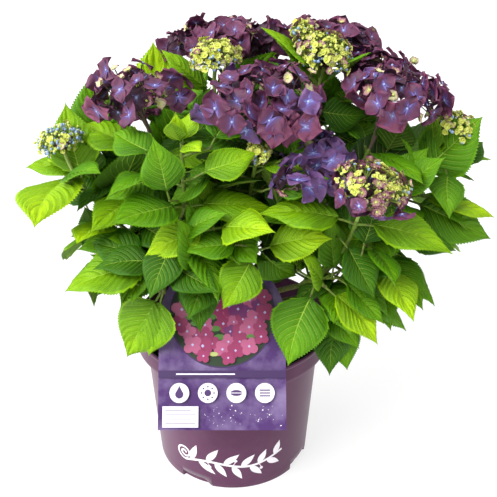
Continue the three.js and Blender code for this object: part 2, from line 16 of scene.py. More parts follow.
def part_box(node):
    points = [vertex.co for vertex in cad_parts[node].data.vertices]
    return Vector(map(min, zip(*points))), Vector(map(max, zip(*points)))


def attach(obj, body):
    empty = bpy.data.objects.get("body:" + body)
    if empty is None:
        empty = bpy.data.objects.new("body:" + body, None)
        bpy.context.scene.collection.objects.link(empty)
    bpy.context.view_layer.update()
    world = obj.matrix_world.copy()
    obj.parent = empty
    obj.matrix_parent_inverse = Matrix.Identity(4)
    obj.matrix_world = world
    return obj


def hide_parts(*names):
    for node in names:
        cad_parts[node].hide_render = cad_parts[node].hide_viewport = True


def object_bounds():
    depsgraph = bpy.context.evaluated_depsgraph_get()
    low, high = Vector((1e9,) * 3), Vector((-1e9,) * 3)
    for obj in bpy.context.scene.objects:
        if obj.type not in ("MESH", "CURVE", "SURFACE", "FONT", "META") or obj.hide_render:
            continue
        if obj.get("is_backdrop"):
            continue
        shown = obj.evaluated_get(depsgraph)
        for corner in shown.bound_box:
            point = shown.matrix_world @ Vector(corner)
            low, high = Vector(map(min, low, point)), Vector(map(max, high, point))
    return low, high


bl_info = {
    "name": "Potted Hydrangea",
    "version": (1, 0, 0),
    "blender": (4, 5, 0),
    "location": "3D View > Sidebar > Hydrangea",
    "description": "Dresses the packed hydrangea with pot, label, canes, leaves and flower heads",
    "category": "Add Mesh",
}

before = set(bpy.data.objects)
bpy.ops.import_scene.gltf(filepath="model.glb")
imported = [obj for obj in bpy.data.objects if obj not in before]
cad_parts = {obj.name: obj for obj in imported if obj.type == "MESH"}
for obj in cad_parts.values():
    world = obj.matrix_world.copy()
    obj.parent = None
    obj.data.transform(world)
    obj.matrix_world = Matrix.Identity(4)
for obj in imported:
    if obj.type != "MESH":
        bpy.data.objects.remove(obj)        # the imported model's bodies, nodes and record
CAD_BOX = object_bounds()
MM = 0.001
GOLDEN = math.pi * (3 - math.sqrt(5))
EAST = np.array([1.0, 0.0, 0.0])
UP = np.array([0.0, 0.0, 1.0])

# ---- The model's driving dimensions, in millimetres and degrees ----

GAP = 0.3
POT = dict(height=182, collar=25, rim=115, collar_foot=113, wall_top=102, foot=91.5, wall=2.6, base=12,
           inner=3.5)
NOTCH = dict(count=4, first=-118, wide=25, high=10, deep=4.5, slope=6, crisp=0.15)
SOIL = dict(level=153, mound=7, top=30, rings=46, turns=96, lumps=2.6, lump_size=9, crumbs=900, least=0.9,
            most=3.4)
LABEL = dict(width=136, height=184, thick=1.2, lean=36.5, centre=-9, below=56, tongue_wide=20,
             tongue_thick=1.6, tongue_above=7, tongue_sunk=1.2, tongue_inside=8, tongue_deep=19,
             ply=0.012, picture=(0, 66, 57), blossoms=64, band=(-1, 6.5), signs_at=-17, sign=10.5,
             patch=(-63, -53, -25, -31), dots=70, arc_steps=40, picture_rim=1.6,
             petal=0.92, eye=0.3)
CROWN = dict(base=22, top=19, height=18, outer=14, inner=5.5, rings=12, turns=40)
NEARLY_SHUT = (0.02, 0.02, 1)
CANE = dict(foot=3.6, tip=2.9, upright=0.5, joints=np.array([0.32, 0.68]), joint_shift=0.05, sides=14,
            step=2.6)
MAIN_BEND = 0.4
TWIG = dict(foot=2.6, tip=1.9)
STALK = dict(foot=1.9, tip=2.3)
LEAF = dict(top_pair=0.97, low_lean=76, top_lean=60, top_size=0.88, level=0.4, tries=12,
            turn_spread=10, lean_spread=6, roll_spread=9, droop_spread=0.18, spread_more=0.5,
            shorter=0.08, shrink=0.025)
SIDE = dict(count=3, first=0.08, last=0.75, reach=44, leaf=84, droop=0.6, foot=2.0, tip=1.8)
HEAD = dict(tilt=0.0016, cover=112, stalk_end=0.4, stalk_knee=0.4)


def sprout(tip, pairs, turn, leaf, tone, droop=0.6, **more):
    """A shoot: its tip, its pairs of leaves, the turn of the last pair, and the leaves' length and tone."""
    return dict(tip=tip, pairs=pairs, turn=turn, leaf=leaf, tone=tone, droop=droop, **more)


# Limbs and shoots as in the model's source, and how light each shoot's leaves are: from 0 for the oldest
# green to 1 for lime. Later shoots of a limb leave the first one at a share up it.
LIMBS = [
    dict(name="left", seat=180, tip=(-58, -4, 258), shoots=[
        sprout((-84, 0, 392), 4, 150, 108, 0.74, first=0.25, head="left"),
        sprout((-170, 4, 366), 2, 92, 136, 0.82, at=0.12, arch=0.35, first=0.55, head="far_left"),
    ]),
    dict(name="front_left", seat=246, tip=(-44, -34, 262), shoots=[
        sprout((-43, -72, 366), 3, 200, 108, 0.55, first=0.5, droop=0.5),
        sprout((-47, -62, 428), 2, 70, 46, 1.0, at=0.95, arch=0.2, first=0.6, droop=0.2, lean=38),
        sprout((-68, -86, 308), 1, 198, 126, 0.75, at=0.3, arch=-0.3, droop=0.4, hangs=True),
        sprout((-70, -86, 272), 1, 270, 92, 0.6, at=0.35, arch=0.4, droop=0.2, lean=30),
    ]),
    dict(name="centre", seat=260, inner=True, tip=(6, -6, 270), shoots=[
        sprout((32, -18, 410), 3, 20, 100, 0.25, first=0.5, droop=0.5, head="centre"),
        sprout((-16, -88, 346), 2, 5, 86, 0.9, at=0.1, arch=-0.3, first=0.72, droop=0.5, hangs=True),
        sprout((28, -92, 322), 2, 20, 92, 0.8, at=0.2, arch=-0.3, first=0.75, droop=0.5, hangs=True),
        sprout((26, -62, 404), 1, 0, 60, 0.7, at=0.5, arch=0.1, first=0.7, droop=0.3, head="small_bud"),
    ]),
    dict(name="front_right", seat=292, tip=(72, -44, 252), shoots=[
        sprout((127, -90, 356), 3, 345, 108, 0.7, first=0.4, droop=0.7, head="half_open"),
        sprout((93, -46, 350), 1, 45, 84, 0.5, at=0.4, arch=-0.2, first=0.6, droop=0.4, head="front_right"),
        sprout((98, -98, 284), 2, 325, 94, 0.82, at=0.05, arch=-0.4, first=0.7, droop=0.4, hangs=True),
    ]),
    dict(name="right", seat=358, tip=(70, 6, 268), shoots=[
        sprout((152, 28, 384), 4, 300, 112, 0.45, first=0.3, head="right"),
        sprout((226, 28, 372), 2, 10, 78, 0.65, at=0.3, arch=0.4, first=0.5, droop=0.3, lean=40,
               head="far_right"),
        sprout((196, 12, 338), 2, 355, 124, 0.88, at=0.32, arch=0.5, first=0.5),
    ]),
    dict(name="low_right", seat=325, tip=(92, -20, 226), shoots=[
        sprout((160, -50, 288), 2, 300, 100, 0.85, first=0.6),
        sprout((186, -12, 310), 2, 20, 108, 0.72, at=0.3, arch=-0.2, first=0.6, droop=0.5),
        sprout((112, -66, 236), 1, 280, 84, 0.5, at=0.1, arch=-0.4, droop=0.4, hangs=True),
    ]),
    dict(name="low_left", seat=213, tip=(-84, -20, 232), shoots=[
        sprout((-130, -26, 322), 2, 258, 84, 0.9, first=0.6, droop=0.8, hangs=True),
    ]),
    dict(name="back_left", seat=138, tip=(-48, 50, 264), shoots=[
        sprout((-92, 120, 366), 4, 30, 112, 0.7, first=0.3, head="back_left"),
        sprout((-150, 62, 352), 2, 190, 104, 0.8, at=0.3, arch=0, first=0.6, droop=0.3, lean=34),
    ]),
    dict(name="top", seat=100, inner=True, tip=(-6, 36, 282), shoots=[
        sprout((-8, 112, 430), 4, 0, 104, 0.4, first=0.35, droop=0.5, head="top"),
        sprout((-17, 36, 442), 2, 150, 88, 0.5, at=0.3, arch=-0.2, first=0.5, droop=0.2, lean=42,
               head="top_bud"),
    ]),
    dict(name="back_right", seat=40, tip=(52, 46, 268), shoots=[
        sprout((130, 114, 428), 4, 20, 108, 0.4, first=0.3, droop=0.5, head="back_right"),
        sprout((96, 58, 448), 2, 175, 92, 0.6, at=0.25, arch=-0.2, first=0.5, droop=0.2, lean=45,
               head="right_bud"),
        sprout((190, 96, 330), 3, 60, 112, 0.5, at=0.2, arch=0, first=0.45),
    ]),
    dict(name="back", seat=90, tip=(4, 70, 250), shoots=[
        sprout((40, 170, 362), 4, 80, 112, 0.4, first=0.3, head="back"),
        sprout((-66, 166, 290), 3, 130, 108, 0.6, at=0.15, arch=0, first=0.5),
        sprout((104, 150, 290), 2, 50, 108, 0.6, at=0.15, arch=0, first=0.6),
    ]),
]

# Flower heads as in the model's source, with the family of sepal colours of each.
HEADS = dict(
    left=dict(centre=(-98, 0, 455), wide=96, high=64, florets=17, family="plum", share=0.72, pale=0.12),
    far_left=dict(centre=(-182, 8, 402), wide=46, high=32, buds=10, family="blue"),
    centre=dict(centre=(36, -28, 456), wide=128, high=80, florets=24, family="plum"),
    front_right=dict(centre=(93, -38, 394), wide=66, high=62, florets=12, family="violet"),
    half_open=dict(centre=(135, -102, 394), wide=76, high=44, florets=8, buds=8, family="young"),
    right=dict(centre=(175, 30, 448), wide=108, high=74, florets=18, family="plum", share=0.9,
               pale=0.07, low=0.86),
    far_right=dict(centre=(243, 30, 410), wide=44, high=28, buds=9, family="lime"),
    top=dict(centre=(-5, 122, 478), wide=112, high=56, florets=17, family="wine"),
    top_bud=dict(centre=(-16, 28, 486), wide=48, high=34, buds=11, family="lime"),
    back_right=dict(centre=(134, 126, 474), wide=80, high=52, florets=12, family="wine"),
    right_bud=dict(centre=(98, 60, 484), wide=62, high=40, buds=13, family="blush"),
    small_bud=dict(centre=(28, -62, 416), wide=20, high=14, buds=5, family="lime"),
    back_left=dict(centre=(-98, 138, 408), wide=88, high=60, florets=13, family="wine"),
    back=dict(centre=(46, 186, 408), wide=100, high=66, florets=16, family="plum"),
)

# Small clusters beside the heads, on side branches of their stalks, which the model leaves out.
FILLS = (
    dict(of="right", centre=(163, 84, 456), wide=78, high=40, florets=9, family="wine"),
    dict(of="top", centre=(44, 112, 484), wide=52, high=30, florets=5, family="wine"),
    dict(of="top", centre=(-54, 112, 477), wide=40, high=28, florets=4, family="wine"),
    dict(of="back_right", centre=(96, 116, 490), wide=44, high=24, florets=4, family="wine"),
    dict(of="right_bud", centre=(76, 62, 507), wide=20, high=14, buds=3, family="lime"),
    dict(of="right_bud", centre=(100, 44, 478), wide=50, high=30, buds=6, family="lime"),
    dict(of="front_right", centre=(66, -92, 398), wide=52, high=34, florets=3, family="violet"),
)

# Leaves that stand apart, in no pair: limb, shoot and share up it of the root, the tip, how far the blade
# droops, which way it faces, and its tone.
APART = [
    ("back_left", 0, 0.97, (-88, 104, 482), 0.4, (-0.2, -1, 0.3), 0.72),
    ("back_left", 1, 1.0, (-152, 56, 461), 0.4, (-0.2, -1, 0.4), 0.5),
    ("back_right", 1, 0.98, (32, 46, 514), 0.5, (0.6, 0.1, 0.8), 0.8),
    ("front_left", 1, 0.99, (-51, -66, 460), 0.4, (-0.2, -1, 0.4), 0.95),
    ("front_left", 1, 0.96, (-26, -92, 431), 0.5, (0.2, -0.7, 1), 0.9),
    ("back_right", 0, 0.9, (133, 70, 412), 0.6, (0, -1, 0.5), 0.1),
    ("left", 1, 0.85, (-180, 42, 433), 0.5, (-0.2, -1, 0.5), 0.62),
    ("right", 1, 0.75, (270, 22, 424), 0.4, (-0.2, -1, 0.8), 0.45),
    ("right", 2, 0.9, (292, 2, 286), 0.9, (-0.3, -1, 1), 0.5),
    ("back_right", 1, 0.8, (32, 84, 466), 0.5, (-0.2, -1, 0.6), 0.1),
    ("back_right", 1, 0.75, (152, 64, 410), 0.5, (0.1, -1, 0.7), 0.12),
    ("back_right", 0, 0.8, (66, 96, 420), 0.5, (0, -1, 0.6), 0.05),
    ("back_right", 0, 0.7, (176, 100, 400), 0.5, (0.2, -1, 0.6), 0.15),
    ("back_left", 0, 0.88, (-25, 88, 457), 0.5, (-0.2, -1, 0.6), 0.45),
    ("back_right", 0, 0.8, (97, 96, 466), 0.4, (-0.1, -1, 0.5), 0.4),
    ("top", 0, 0.7, (52, 100, 476), 0.4, (0.1, -1, 0.5), 0.3),
    ("front_left", 3, 0.9, (-113, -92, 191), 0.5, (-0.3, -1, 0.6), 0.6),
    ("low_right", 2, 0.95, (107, -100, 172), 0.5, (0.1, -1, 0.5), 0.45),
    ("back_left", 1, 0.7, (-130, 70, 402), 0.5, (-0.2, -1, 0.6), 0.3),
    ("left", 1, 0.5, (-176, -20, 300), 0.6, (-0.3, -1, 1), 0.5),
    ("right", 0, 0.6, (196, 60, 402), 0.5, (0, -1, 0.6), 0.1),
]


# ---- Numbers, vectors and curves ----

def seeded(seed):
    """The source's stream of numbers from 0 to 1."""
    state = (seed + 1) * 2654435761 & 0xFFFFFFFF

    def draw():
        nonlocal state
        state = (state * 1664525 + 1013904223) & 0xFFFFFFFF
        return state / 4294967296
    return draw


def lerp(low, high, share):
    return low + (high - low) * share


def unit(vector):
    return vector / np.linalg.norm(vector, axis=-1, keepdims=True)


def square_to(axis, vector):
    """The part of `vector` square to the unit vector `axis`, as a unit vector."""
    return unit(vector - axis * (vector @ axis))


def sides_of(axis, towards):
    """Two unit vectors square to `axis` and to each other, the first as near `towards` as can be."""
    east = square_to(axis, towards)
    return east, np.cross(axis, east)


def spun(east, north, angle):
    return east * math.cos(angle) + north * math.sin(angle)


def turns_of(count):
    """Equal steps of one turn, in radians."""
    return 2 * math.pi * np.arange(count) / count


def polar(radius, angle, z):
    """Points at a radius and an angle about the upright axis."""
    return np.stack(np.broadcast_arrays(radius * np.cos(angle), radius * np.sin(angle), z), -1)


def turned(vector, axis, angle):
    """`vector` turned about the unit vector `axis`."""
    return (vector * math.cos(angle) + np.cross(axis, vector) * math.sin(angle)
            + axis * (axis @ vector) * (1 - math.cos(angle)))


class Bend:
    """A quadratic Bezier curve."""

    def __init__(self, foot, middle, tip):
        self.ends = [np.asarray(point, float) for point in (foot, middle, tip)]

    def point(self, share):
        foot, middle, tip = self.ends
        share = np.asarray(share, float)[..., None]
        return (1 - share) ** 2 * foot + 2 * share * (1 - share) * middle + share ** 2 * tip

    def tangent(self, share):
        foot, middle, tip = self.ends
        share = np.asarray(share, float)[..., None]
        return unit((1 - share) * (middle - foot) + share * (tip - middle))

    def length(self):
        return float(np.linalg.norm(self.ends[2] - self.ends[0]))


def limb_curve(foot, tip, arch):
    foot = np.asarray(foot, float)
    reach = np.asarray(tip, float) - foot
    out = 0.5 + 0.5 * arch
    return Bend(foot, foot + reach * (out, out, 1 - out), tip)


CROWN_FOOT = SOIL["level"] + SOIL["mound"] + GAP
CROWN_TOP = CROWN_FOOT + CROWN["height"]


def cane_curve(limb):
    radius = CROWN["inner"] if limb.get("inner") else CROWN["outer"]
    foot = polar(radius, math.radians(limb["seat"]), CROWN_TOP + GAP)
    rise = limb["tip"][2] - foot[2]
    return Bend(foot, foot + UP * CANE["upright"] * rise, limb["tip"])


def shoot_curves(limb):
    cane = cane_curve(limb)
    along = cane.tangent(1)
    start = np.array(limb["tip"], float) + along * GAP
    end = np.array(limb["shoots"][0]["tip"], float)
    main = Bend(start, start + along * MAIN_BEND * np.linalg.norm(end - start), end)
    others = [limb_curve(main.point(shoot["at"]), shoot["tip"], shoot["arch"])
              for shoot in limb["shoots"][1:]]
    return [main, *others]


def side_twigs(curve, seed, rule):
    """Short leafy twigs up a shoot, turned on by the golden angle from one to the next."""
    draw = seeded(seed)
    turn = 2 * math.pi * draw()
    twigs = []
    for index in range(rule["count"]):
        share = lerp(rule["first"], rule["last"], (index + 0.5 * draw()) / rule["count"])
        reach = rule["reach"] * (0.8 + 0.4 * draw())
        foot = curve.point(share)
        tip = foot + reach * polar(1, turn + index * GOLDEN, 0.2 + 0.5 * draw())
        shoot = dict(pairs=1, turn=360 * draw(), leaf=rule["leaf"], droop=rule["droop"])
        twigs.append((shoot, limb_curve(foot, tip, 0)))
    return twigs


def head_axis(head):
    x, y, _ = head["centre"]
    return unit(np.array([x * HEAD["tilt"], y * HEAD["tilt"], 1.0]))


# ---- Leaves by the source's rule ----

TIP_MATCH = 0.3           # how near a corner of the model's mesh a leaf's tip must be, in millimetres
# Leaves of side twigs inside the crown are darkened, as painted shade.
INNER_PAINTED_SHADE = 0.42         # leaves of side twigs are inside the crown, and darker
OLD_TONE = 0.55           # the lowest pair's tone as a share of the last pair's
FINE = dict(count=7, first=0.1, last=0.9, reach=34, leaf=78, droop=0.6, foot=1.5, tip=1.2, seed=700,
            probes=np.array([0.25, 0.5, 0.75, 1.0]), room=8, tone=0.5)
SEEDS = dict(limb=10000, shoot=1000, side=500, pair=100, leaf=50, twig=20, apart=7000, head=900,
             fill=960, floret=4000, bark=50)


class Leaf:
    """A leaf's place: its root, its frame, its length and how far it droops."""

    def __init__(self, root, tangent, spec, seed, attempt):
        draw = seeded(seed + attempt)

        def wander(size):
            return size * (2 * draw() - 1) * (1 + LEAF["spread_more"] * attempt)

        angle = math.radians(spec["angle"] + wander(LEAF["turn_spread"]))
        lean = math.radians(spec["lean"] + wander(LEAF["lean_spread"]))
        roll = math.radians(wander(LEAF["roll_spread"]))
        self.droop = spec["droop"] * (1 + wander(LEAF["droop_spread"]))
        self.length = spec["length"] * (1 - LEAF["shorter"] * draw() - LEAF["shrink"] * attempt)
        self.root = root
        self.seed = seed
        along = spun(tangent, spun(*sides_of(tangent, EAST), angle), lean)
        along[2] *= 1 - spec["level"]
        self.along = unit(along)
        self.face = turned(square_to(self.along, tangent * 0.5 + UP), self.along, roll)
        self.across = np.cross(self.face, self.along)

    @classmethod
    def between(cls, root, tip, droop, look, seed):
        """A leaf whose tip is known, turned as far as it can be to face `look`."""
        leaf = cls.__new__(cls)
        chord = tip - root
        straight = unit(chord)
        level = square_to(straight, np.array(look, float))
        angle = math.atan(droop / 2)
        leaf.root, leaf.seed, leaf.droop = root, seed, droop
        leaf.along = spun(straight, level, angle)
        leaf.face = level * math.cos(angle) - straight * math.sin(angle)
        leaf.across = np.cross(leaf.face, leaf.along)
        leaf.length = float(np.linalg.norm(chord)) * math.cos(angle)
        return leaf

    def midrib(self, share):
        """The point of the midrib at a share of the leaf's length."""
        share = np.asarray(share, float)[..., None]
        return (self.root + self.along * self.length * share
                - self.face * 0.5 * self.length * self.droop * share ** 2)


def pair_specs(shoot):
    """Where each leaf of a shoot stands, and how, lowest pair first."""
    for pair in range(shoot["pairs"]):
        step = pair / (shoot["pairs"] - 1) if shoot["pairs"] > 1 else 1
        share = lerp(shoot.get("first", LEAF["top_pair"]), LEAF["top_pair"], step)
        for side in range(2):
            yield SEEDS["pair"] * pair + SEEDS["leaf"] * side, share, step, dict(
                angle=shoot["turn"] + 90 * (shoot["pairs"] - 1 - pair) + 180 * side,
                lean=lerp(LEAF["low_lean"], shoot.get("lean", LEAF["top_lean"]), step),
                level=0 if shoot.get("hangs") or shoot.get("lean") else LEAF["level"],
                droop=shoot["droop"],
                length=shoot["leaf"] * lerp(1, LEAF["top_size"], step),
            )


def nodes_named(*starts):
    return [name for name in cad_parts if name.startswith(starts)]


def kept_leaf(node, root, tangent, spec, seed, spots):
    """The try that the model kept: the one whose tip is a corner of the node's mesh, or None."""
    for attempt in range(LEAF["tries"]):
        leaf = Leaf(root, tangent, spec, seed, attempt)
        if spots[node].find(leaf.midrib(1))[2] < TIP_MATCH:
            return leaf


def node_corners():
    """The corners of each mass of foliage in the model, for finding its leaves again."""
    spots = {}
    for name in nodes_named("leaves_"):
        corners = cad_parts[name].data.vertices
        tree = kdtree.KDTree(len(corners))
        for index, corner in enumerate(corners):
            tree.insert(corner.co / MM, index)
        tree.balance()
        spots[name] = tree
    return spots


class Growth:
    """Every twig and leaf of the shrub: the model's own, those that stand apart, and finer ones between."""

    def __init__(self):
        self.twigs = []      # (curve, foot radius, tip radius, leaf joints along it)
        self.leaves = []     # (leaf, tone)
        self.stalks = {}     # head name: (start, tangent)
        self.taken = []
        spots = node_corners()
        limbs = [(number, limb, shoot_curves(limb)) for number, limb in enumerate(LIMBS)]
        for number, limb, curves in limbs:
            node = "leaves_" + limb["name"]
            for index, (shoot, curve) in enumerate(zip(limb["shoots"], curves)):
                seed = SEEDS["limb"] * number + SEEDS["shoot"] * index
                self.grow(node, shoot, curve, seed, shoot["tone"], spots)
                self.twigs.append((curve, TWIG["foot"], TWIG["tip"], self.joints(shoot)))
                if "head" in shoot:
                    self.stalks[shoot["head"]] = (curve.point(1), curve.tangent(1))
            seed = SEEDS["limb"] * number + SEEDS["side"]
            for order, (shoot, curve) in enumerate(side_twigs(curves[0], seed, SIDE)):
                count = len(self.leaves)
                # Side-twig leaves take a darker tone, as painted shade inside the crown.
                tone = limb["shoots"][0]["tone"] * INNER_PAINTED_SHADE
                self.grow(node, shoot, curve, seed + SEEDS["twig"] * order, tone, spots)
                if len(self.leaves) > count:
                    self.twigs.append((curve, SIDE["foot"], SIDE["tip"], ()))
        curve_of = {limb["name"]: curves for _, limb, curves in limbs}
        for number, (name, index, share, tip, droop, look, tone) in enumerate(APART):
            root = curve_of[name][index].point(share)
            self.take(Leaf.between(root, np.array(tip, float), droop, look, SEEDS["apart"] + number), tone)
        for number, limb, curves in limbs:
            low, high = (np.array(corner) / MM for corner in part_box("leaves_" + limb["name"]))
            for index, (shoot, curve) in enumerate(zip(limb["shoots"], curves)):
                seed = SEEDS["limb"] * number + SEEDS["shoot"] * index + FINE["seed"]
                self.grow_finer(shoot, curve, seed, low, high)

    @staticmethod
    def joints(shoot):
        return sorted({share for _, share, _, _ in pair_specs(shoot)})

    def take(self, leaf, tone):
        self.leaves.append((leaf, tone))
        self.taken.append(leaf.midrib(FINE["probes"]))

    def grow(self, node, shoot, curve, seed, tone, spots):
        for step_seed, share, step, spec in pair_specs(shoot):
            leaf = kept_leaf(node, curve.point(share), curve.tangent(share), spec, seed + step_seed, spots)
            if leaf:
                self.take(leaf, tone * lerp(OLD_TONE, 1, step))

    def grow_finer(self, shoot, curve, seed, low, high):
        """Side twigs of a shoot too fine for the model, where they find room inside the mass's box."""
        for order, (twig, line) in enumerate(side_twigs(curve, seed, FINE)):
            rooted = False
            for step_seed, share, _, spec in pair_specs(twig):
                leaf_seed = seed + SEEDS["twig"] * order + step_seed
                leaf = Leaf(line.point(share), line.tangent(share), spec, leaf_seed, 0)
                probes = leaf.midrib(FINE["probes"])
                inside = (probes > low).all() and (probes < high).all()
                if inside and self.clear(probes):
                    self.take(leaf, shoot["tone"] * FINE["tone"])
                    rooted = True
            if rooted:
                self.twigs.append((line, FINE["foot"], FINE["tip"], ()))

    def clear(self, probes):
        others = np.concatenate(self.taken)
        gaps = np.linalg.norm(others[:, None] - probes[None], axis=2)
        return gaps.min() > FINE["room"]


@functools.cache
def plant():
    """The shrub's growth, worked out once for the operators that need it."""
    return Growth()


# ---- Joined meshes ----

class Sheaf:
    """Many small shapes joined into one mesh. Points are in millimetres."""

    def __init__(self):
        self.points = []
        self.faces = []
        self.slots = []
        self.count = 0

    def add(self, points, faces, slot=0):
        points = np.asarray(points, float).reshape(-1, 3)
        faces = np.asarray(faces, int)
        self.points.append(points)
        self.faces.append(faces + self.count)
        self.slots.append(np.full(len(faces), slot) if np.isscalar(slot) else np.asarray(slot))
        self.count += len(points)

    def triangles(self):
        return sum(len(faces) * (faces.shape[1] - 2) for faces in self.faces)

    def piece(self, name, finishes, slot, replaces=(), smooth=True):
        """The joined mesh as a piece that rides on the plant's one body."""
        mesh = bpy.data.meshes.new(name)
        points = np.concatenate(self.points) * MM
        mesh.vertices.add(len(points))
        mesh.vertices.foreach_set("co", points.astype(np.float32).ravel())
        corners = np.concatenate([faces.ravel() for faces in self.faces])
        sizes = np.concatenate([np.full(len(faces), faces.shape[1]) for faces in self.faces])
        mesh.loops.add(len(corners))
        mesh.loops.foreach_set("vertex_index", corners.astype(np.int32))
        mesh.polygons.add(len(sizes))
        starts = np.concatenate([[0], np.cumsum(sizes)[:-1]])
        mesh.polygons.foreach_set("loop_start", starts.astype(np.int32))
        mesh.polygons.foreach_set("material_index", np.concatenate(self.slots).astype(np.int32))
        mesh.polygons.foreach_set("use_smooth", np.full(len(sizes), smooth))
        mesh.update(calc_edges=True)
        mesh.validate()
        for finish in finishes:
            mesh.materials.append(finish)
        made = bpy.data.objects.new(name, mesh)
        bpy.context.scene.collection.objects.link(made)
        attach(made, "root")
        if replaces:
            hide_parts(*replaces)


def grid_faces(rows, columns, closed=False):
    """Quads over a grid of points numbered row by row; `closed` joins the last column to the first."""
    row, column = np.meshgrid(np.arange(rows - 1), np.arange(columns if closed else columns - 1),
                              indexing="ij")
    after = (column + 1) % columns
    quads = [row * columns + column, row * columns + after,
             (row + 1) * columns + after, (row + 1) * columns + column]
    return np.stack(quads, -1).reshape(-1, 4)


def fan(count):
    """Triangles from a middle point to the points round it."""
    return [(0, 1 + index, 1 + (index + 1) % count) for index in range(count)]


def add_patch(sheaf, outline, place, slot):
    """A flat shape filled in from its middle; `place` puts its points on the surface."""
    points = np.concatenate([[outline.mean(axis=0)], outline])
    sheaf.add(place(points), fan(len(outline)), slot)


def add_strip(sheaf, lines, slot):
    """A surface between lines that lie side by side."""
    points = np.stack(lines, 1)
    sheaf.add(points, grid_faces(len(points), len(lines)), slot)


def tube_rings(line, radii, sides):
    """Rings of points round a line of points."""
    line = np.asarray(line, float)
    along = unit(np.gradient(line, axis=0))
    across = np.empty_like(line)
    across[0] = square_to(along[0], EAST if abs(along[0][0]) < 0.9 else UP)
    for index in range(1, len(line)):
        across[index] = square_to(along[index], across[index - 1])
    aside = np.cross(along, across)
    angles = turns_of(sides)
    radii = np.asarray(radii, float).reshape(len(line), -1, 1)
    ring = across[:, None] * np.cos(angles)[None, :, None] + aside[:, None] * np.sin(angles)[None, :, None]
    return line[:, None] + ring * radii


def add_tube(sheaf, line, radii, sides, slot=0):
    """A tube with closed ends."""
    rings = tube_rings(line, radii, sides)
    rows = len(rings)
    sheaf.add(rings, grid_faces(rows, sides, closed=True), slot)
    for ring, flip in ((rings[0], -1), (rings[-1], 1)):
        order = np.arange(sides)[::flip]
        sheaf.add(ring, [[order[0], order[side], order[side + 1]] for side in range(1, sides - 1)], slot)


def ball(rings, sides):
    """A unit ball's points and triangles."""
    falls = [math.pi * ring / rings for ring in range(1, rings)]
    belts = [polar(math.sin(fall), turns_of(sides), math.cos(fall)) for fall in falls]
    points = np.concatenate([[UP], *belts, [-UP]])
    faces = []
    for side in range(sides):
        after = (side + 1) % sides
        faces.append((0, 1 + side, 1 + after))
        for ring in range(rings - 2):
            one, two = 1 + ring * sides, 1 + (ring + 1) * sides
            faces.append((one + side, two + side, two + after))
            faces.append((one + side, two + after, one + after))
        foot = 1 + (rings - 2) * sides
        faces.append((len(points) - 1, foot + after, foot + side))
    return points, np.array(faces)


# ---- Finishes ----

GRAIN_ROUGHNESS = 0.55


class Value:
    """A shader output that takes part in sums and products: each adds its Math node."""

    def __init__(self, finish, socket):
        self.finish = finish
        self.socket = socket

    def math(self, operation, left, right):
        return self.finish.node("Math", {"operation": operation}, {0: left, 1: right})

    def __add__(self, other):
        return self.math("ADD", self, other)

    def __mul__(self, other):
        return self.math("MULTIPLY", self, other)


class Finish:
    """A material: fixed numbers on the shader's own sockets, and patterns made of nodes."""

    def __init__(self, name, colour, roughness, **fixed):
        self.material = bpy.data.materials.new(name)
        self.material.use_nodes = True
        self.tree = self.material.node_tree
        self.shader = self.tree.nodes["Principled BSDF"]
        self.feed(self.shader.inputs["Base Color"], colour)
        self.feed(self.shader.inputs["Roughness"], roughness)
        for socket, value in fixed.items():
            self.feed(self.shader.inputs[socket.replace("_", " ").title().replace("Ior", "IOR")], value)
        self.material.diffuse_color = (*colour, 1)

    def feed(self, socket, value):
        if isinstance(value, Value):
            self.tree.links.new(value.socket, socket)
        elif socket.type == "RGBA" and len(value) == 3:
            socket.default_value = (*value, 1)
        else:
            socket.default_value = value

    def node(self, kind, settings=None, sockets=None, output=0):
        """A node of any kind: its settings are set first, then its sockets' values or links."""
        made = self.tree.nodes.new("ShaderNode" + kind)
        for setting, value in (settings or {}).items():
            setattr(made, setting, value)
        for socket, value in (sockets or {}).items():
            self.feed(made.inputs[socket], value)
        return Value(self, made.outputs[output])

    def place(self):
        """The surface's own coordinates, in metres."""
        return self.node("TexCoord", output="Object")

    def grain(self, size, detail=3.0):
        """Soft noise whose patches measure about `size` millimetres, from 0 to 1."""
        return self.node("TexNoise", {}, {"Vector": self.place(), "Scale": 1 / (size * MM),
                                          "Detail": detail, "Roughness": GRAIN_ROUGHNESS})

    def cells(self, size):
        """Distance from the edges of a net of cells that measure about `size` millimetres."""
        return self.node("TexVoronoi", {"feature": "DISTANCE_TO_EDGE"},
                         {"Vector": self.place(), "Scale": 1 / (size * MM)})

    def band(self, value, low, high):
        """`value` stretched so that low gives 0 and high gives 1."""
        return self.node("MapRange", {"clamp": True}, {"Value": value, "From Min": low, "From Max": high})

    def mix(self, factor, low, high):
        """Two colours mixed."""
        return self.node("Mix", {"data_type": "RGBA"}, {0: factor, 6: low, 7: high}, output=2)

    def bump(self, height, depth, strength=1.0):
        """Relief of `depth` millimetres."""
        relief = self.node("Bump", {}, {"Height": height, "Distance": depth * MM, "Strength": strength})
        self.feed(self.shader.inputs["Normal"], relief)

    def set(self, socket, value):
        self.feed(self.shader.inputs[socket], value)


def shade(code):
    """A colour's linear values from its sRGB code."""
    parts = [int(code[place:place + 2], 16) / 255 for place in (0, 2, 4)]
    return tuple(part / 12.92 if part < 0.04045 else ((part + 0.055) / 1.055) ** 2.4 for part in parts)


def tinted(colour, share):
    """A colour made lighter or darker by a share."""
    return tuple(min(1.0, part * share) for part in colour)


def warmed(colour, share):
    """A green made yellower, and a little lighter."""
    return tuple(part * (1 + rise * share) for part, rise in zip(colour, (0.6, 0.16, -0.5)))


def blended(low, high, share):
    return tuple(lerp(a, b, share) for a, b in zip(low, high))


# ---- Leaf blades ----

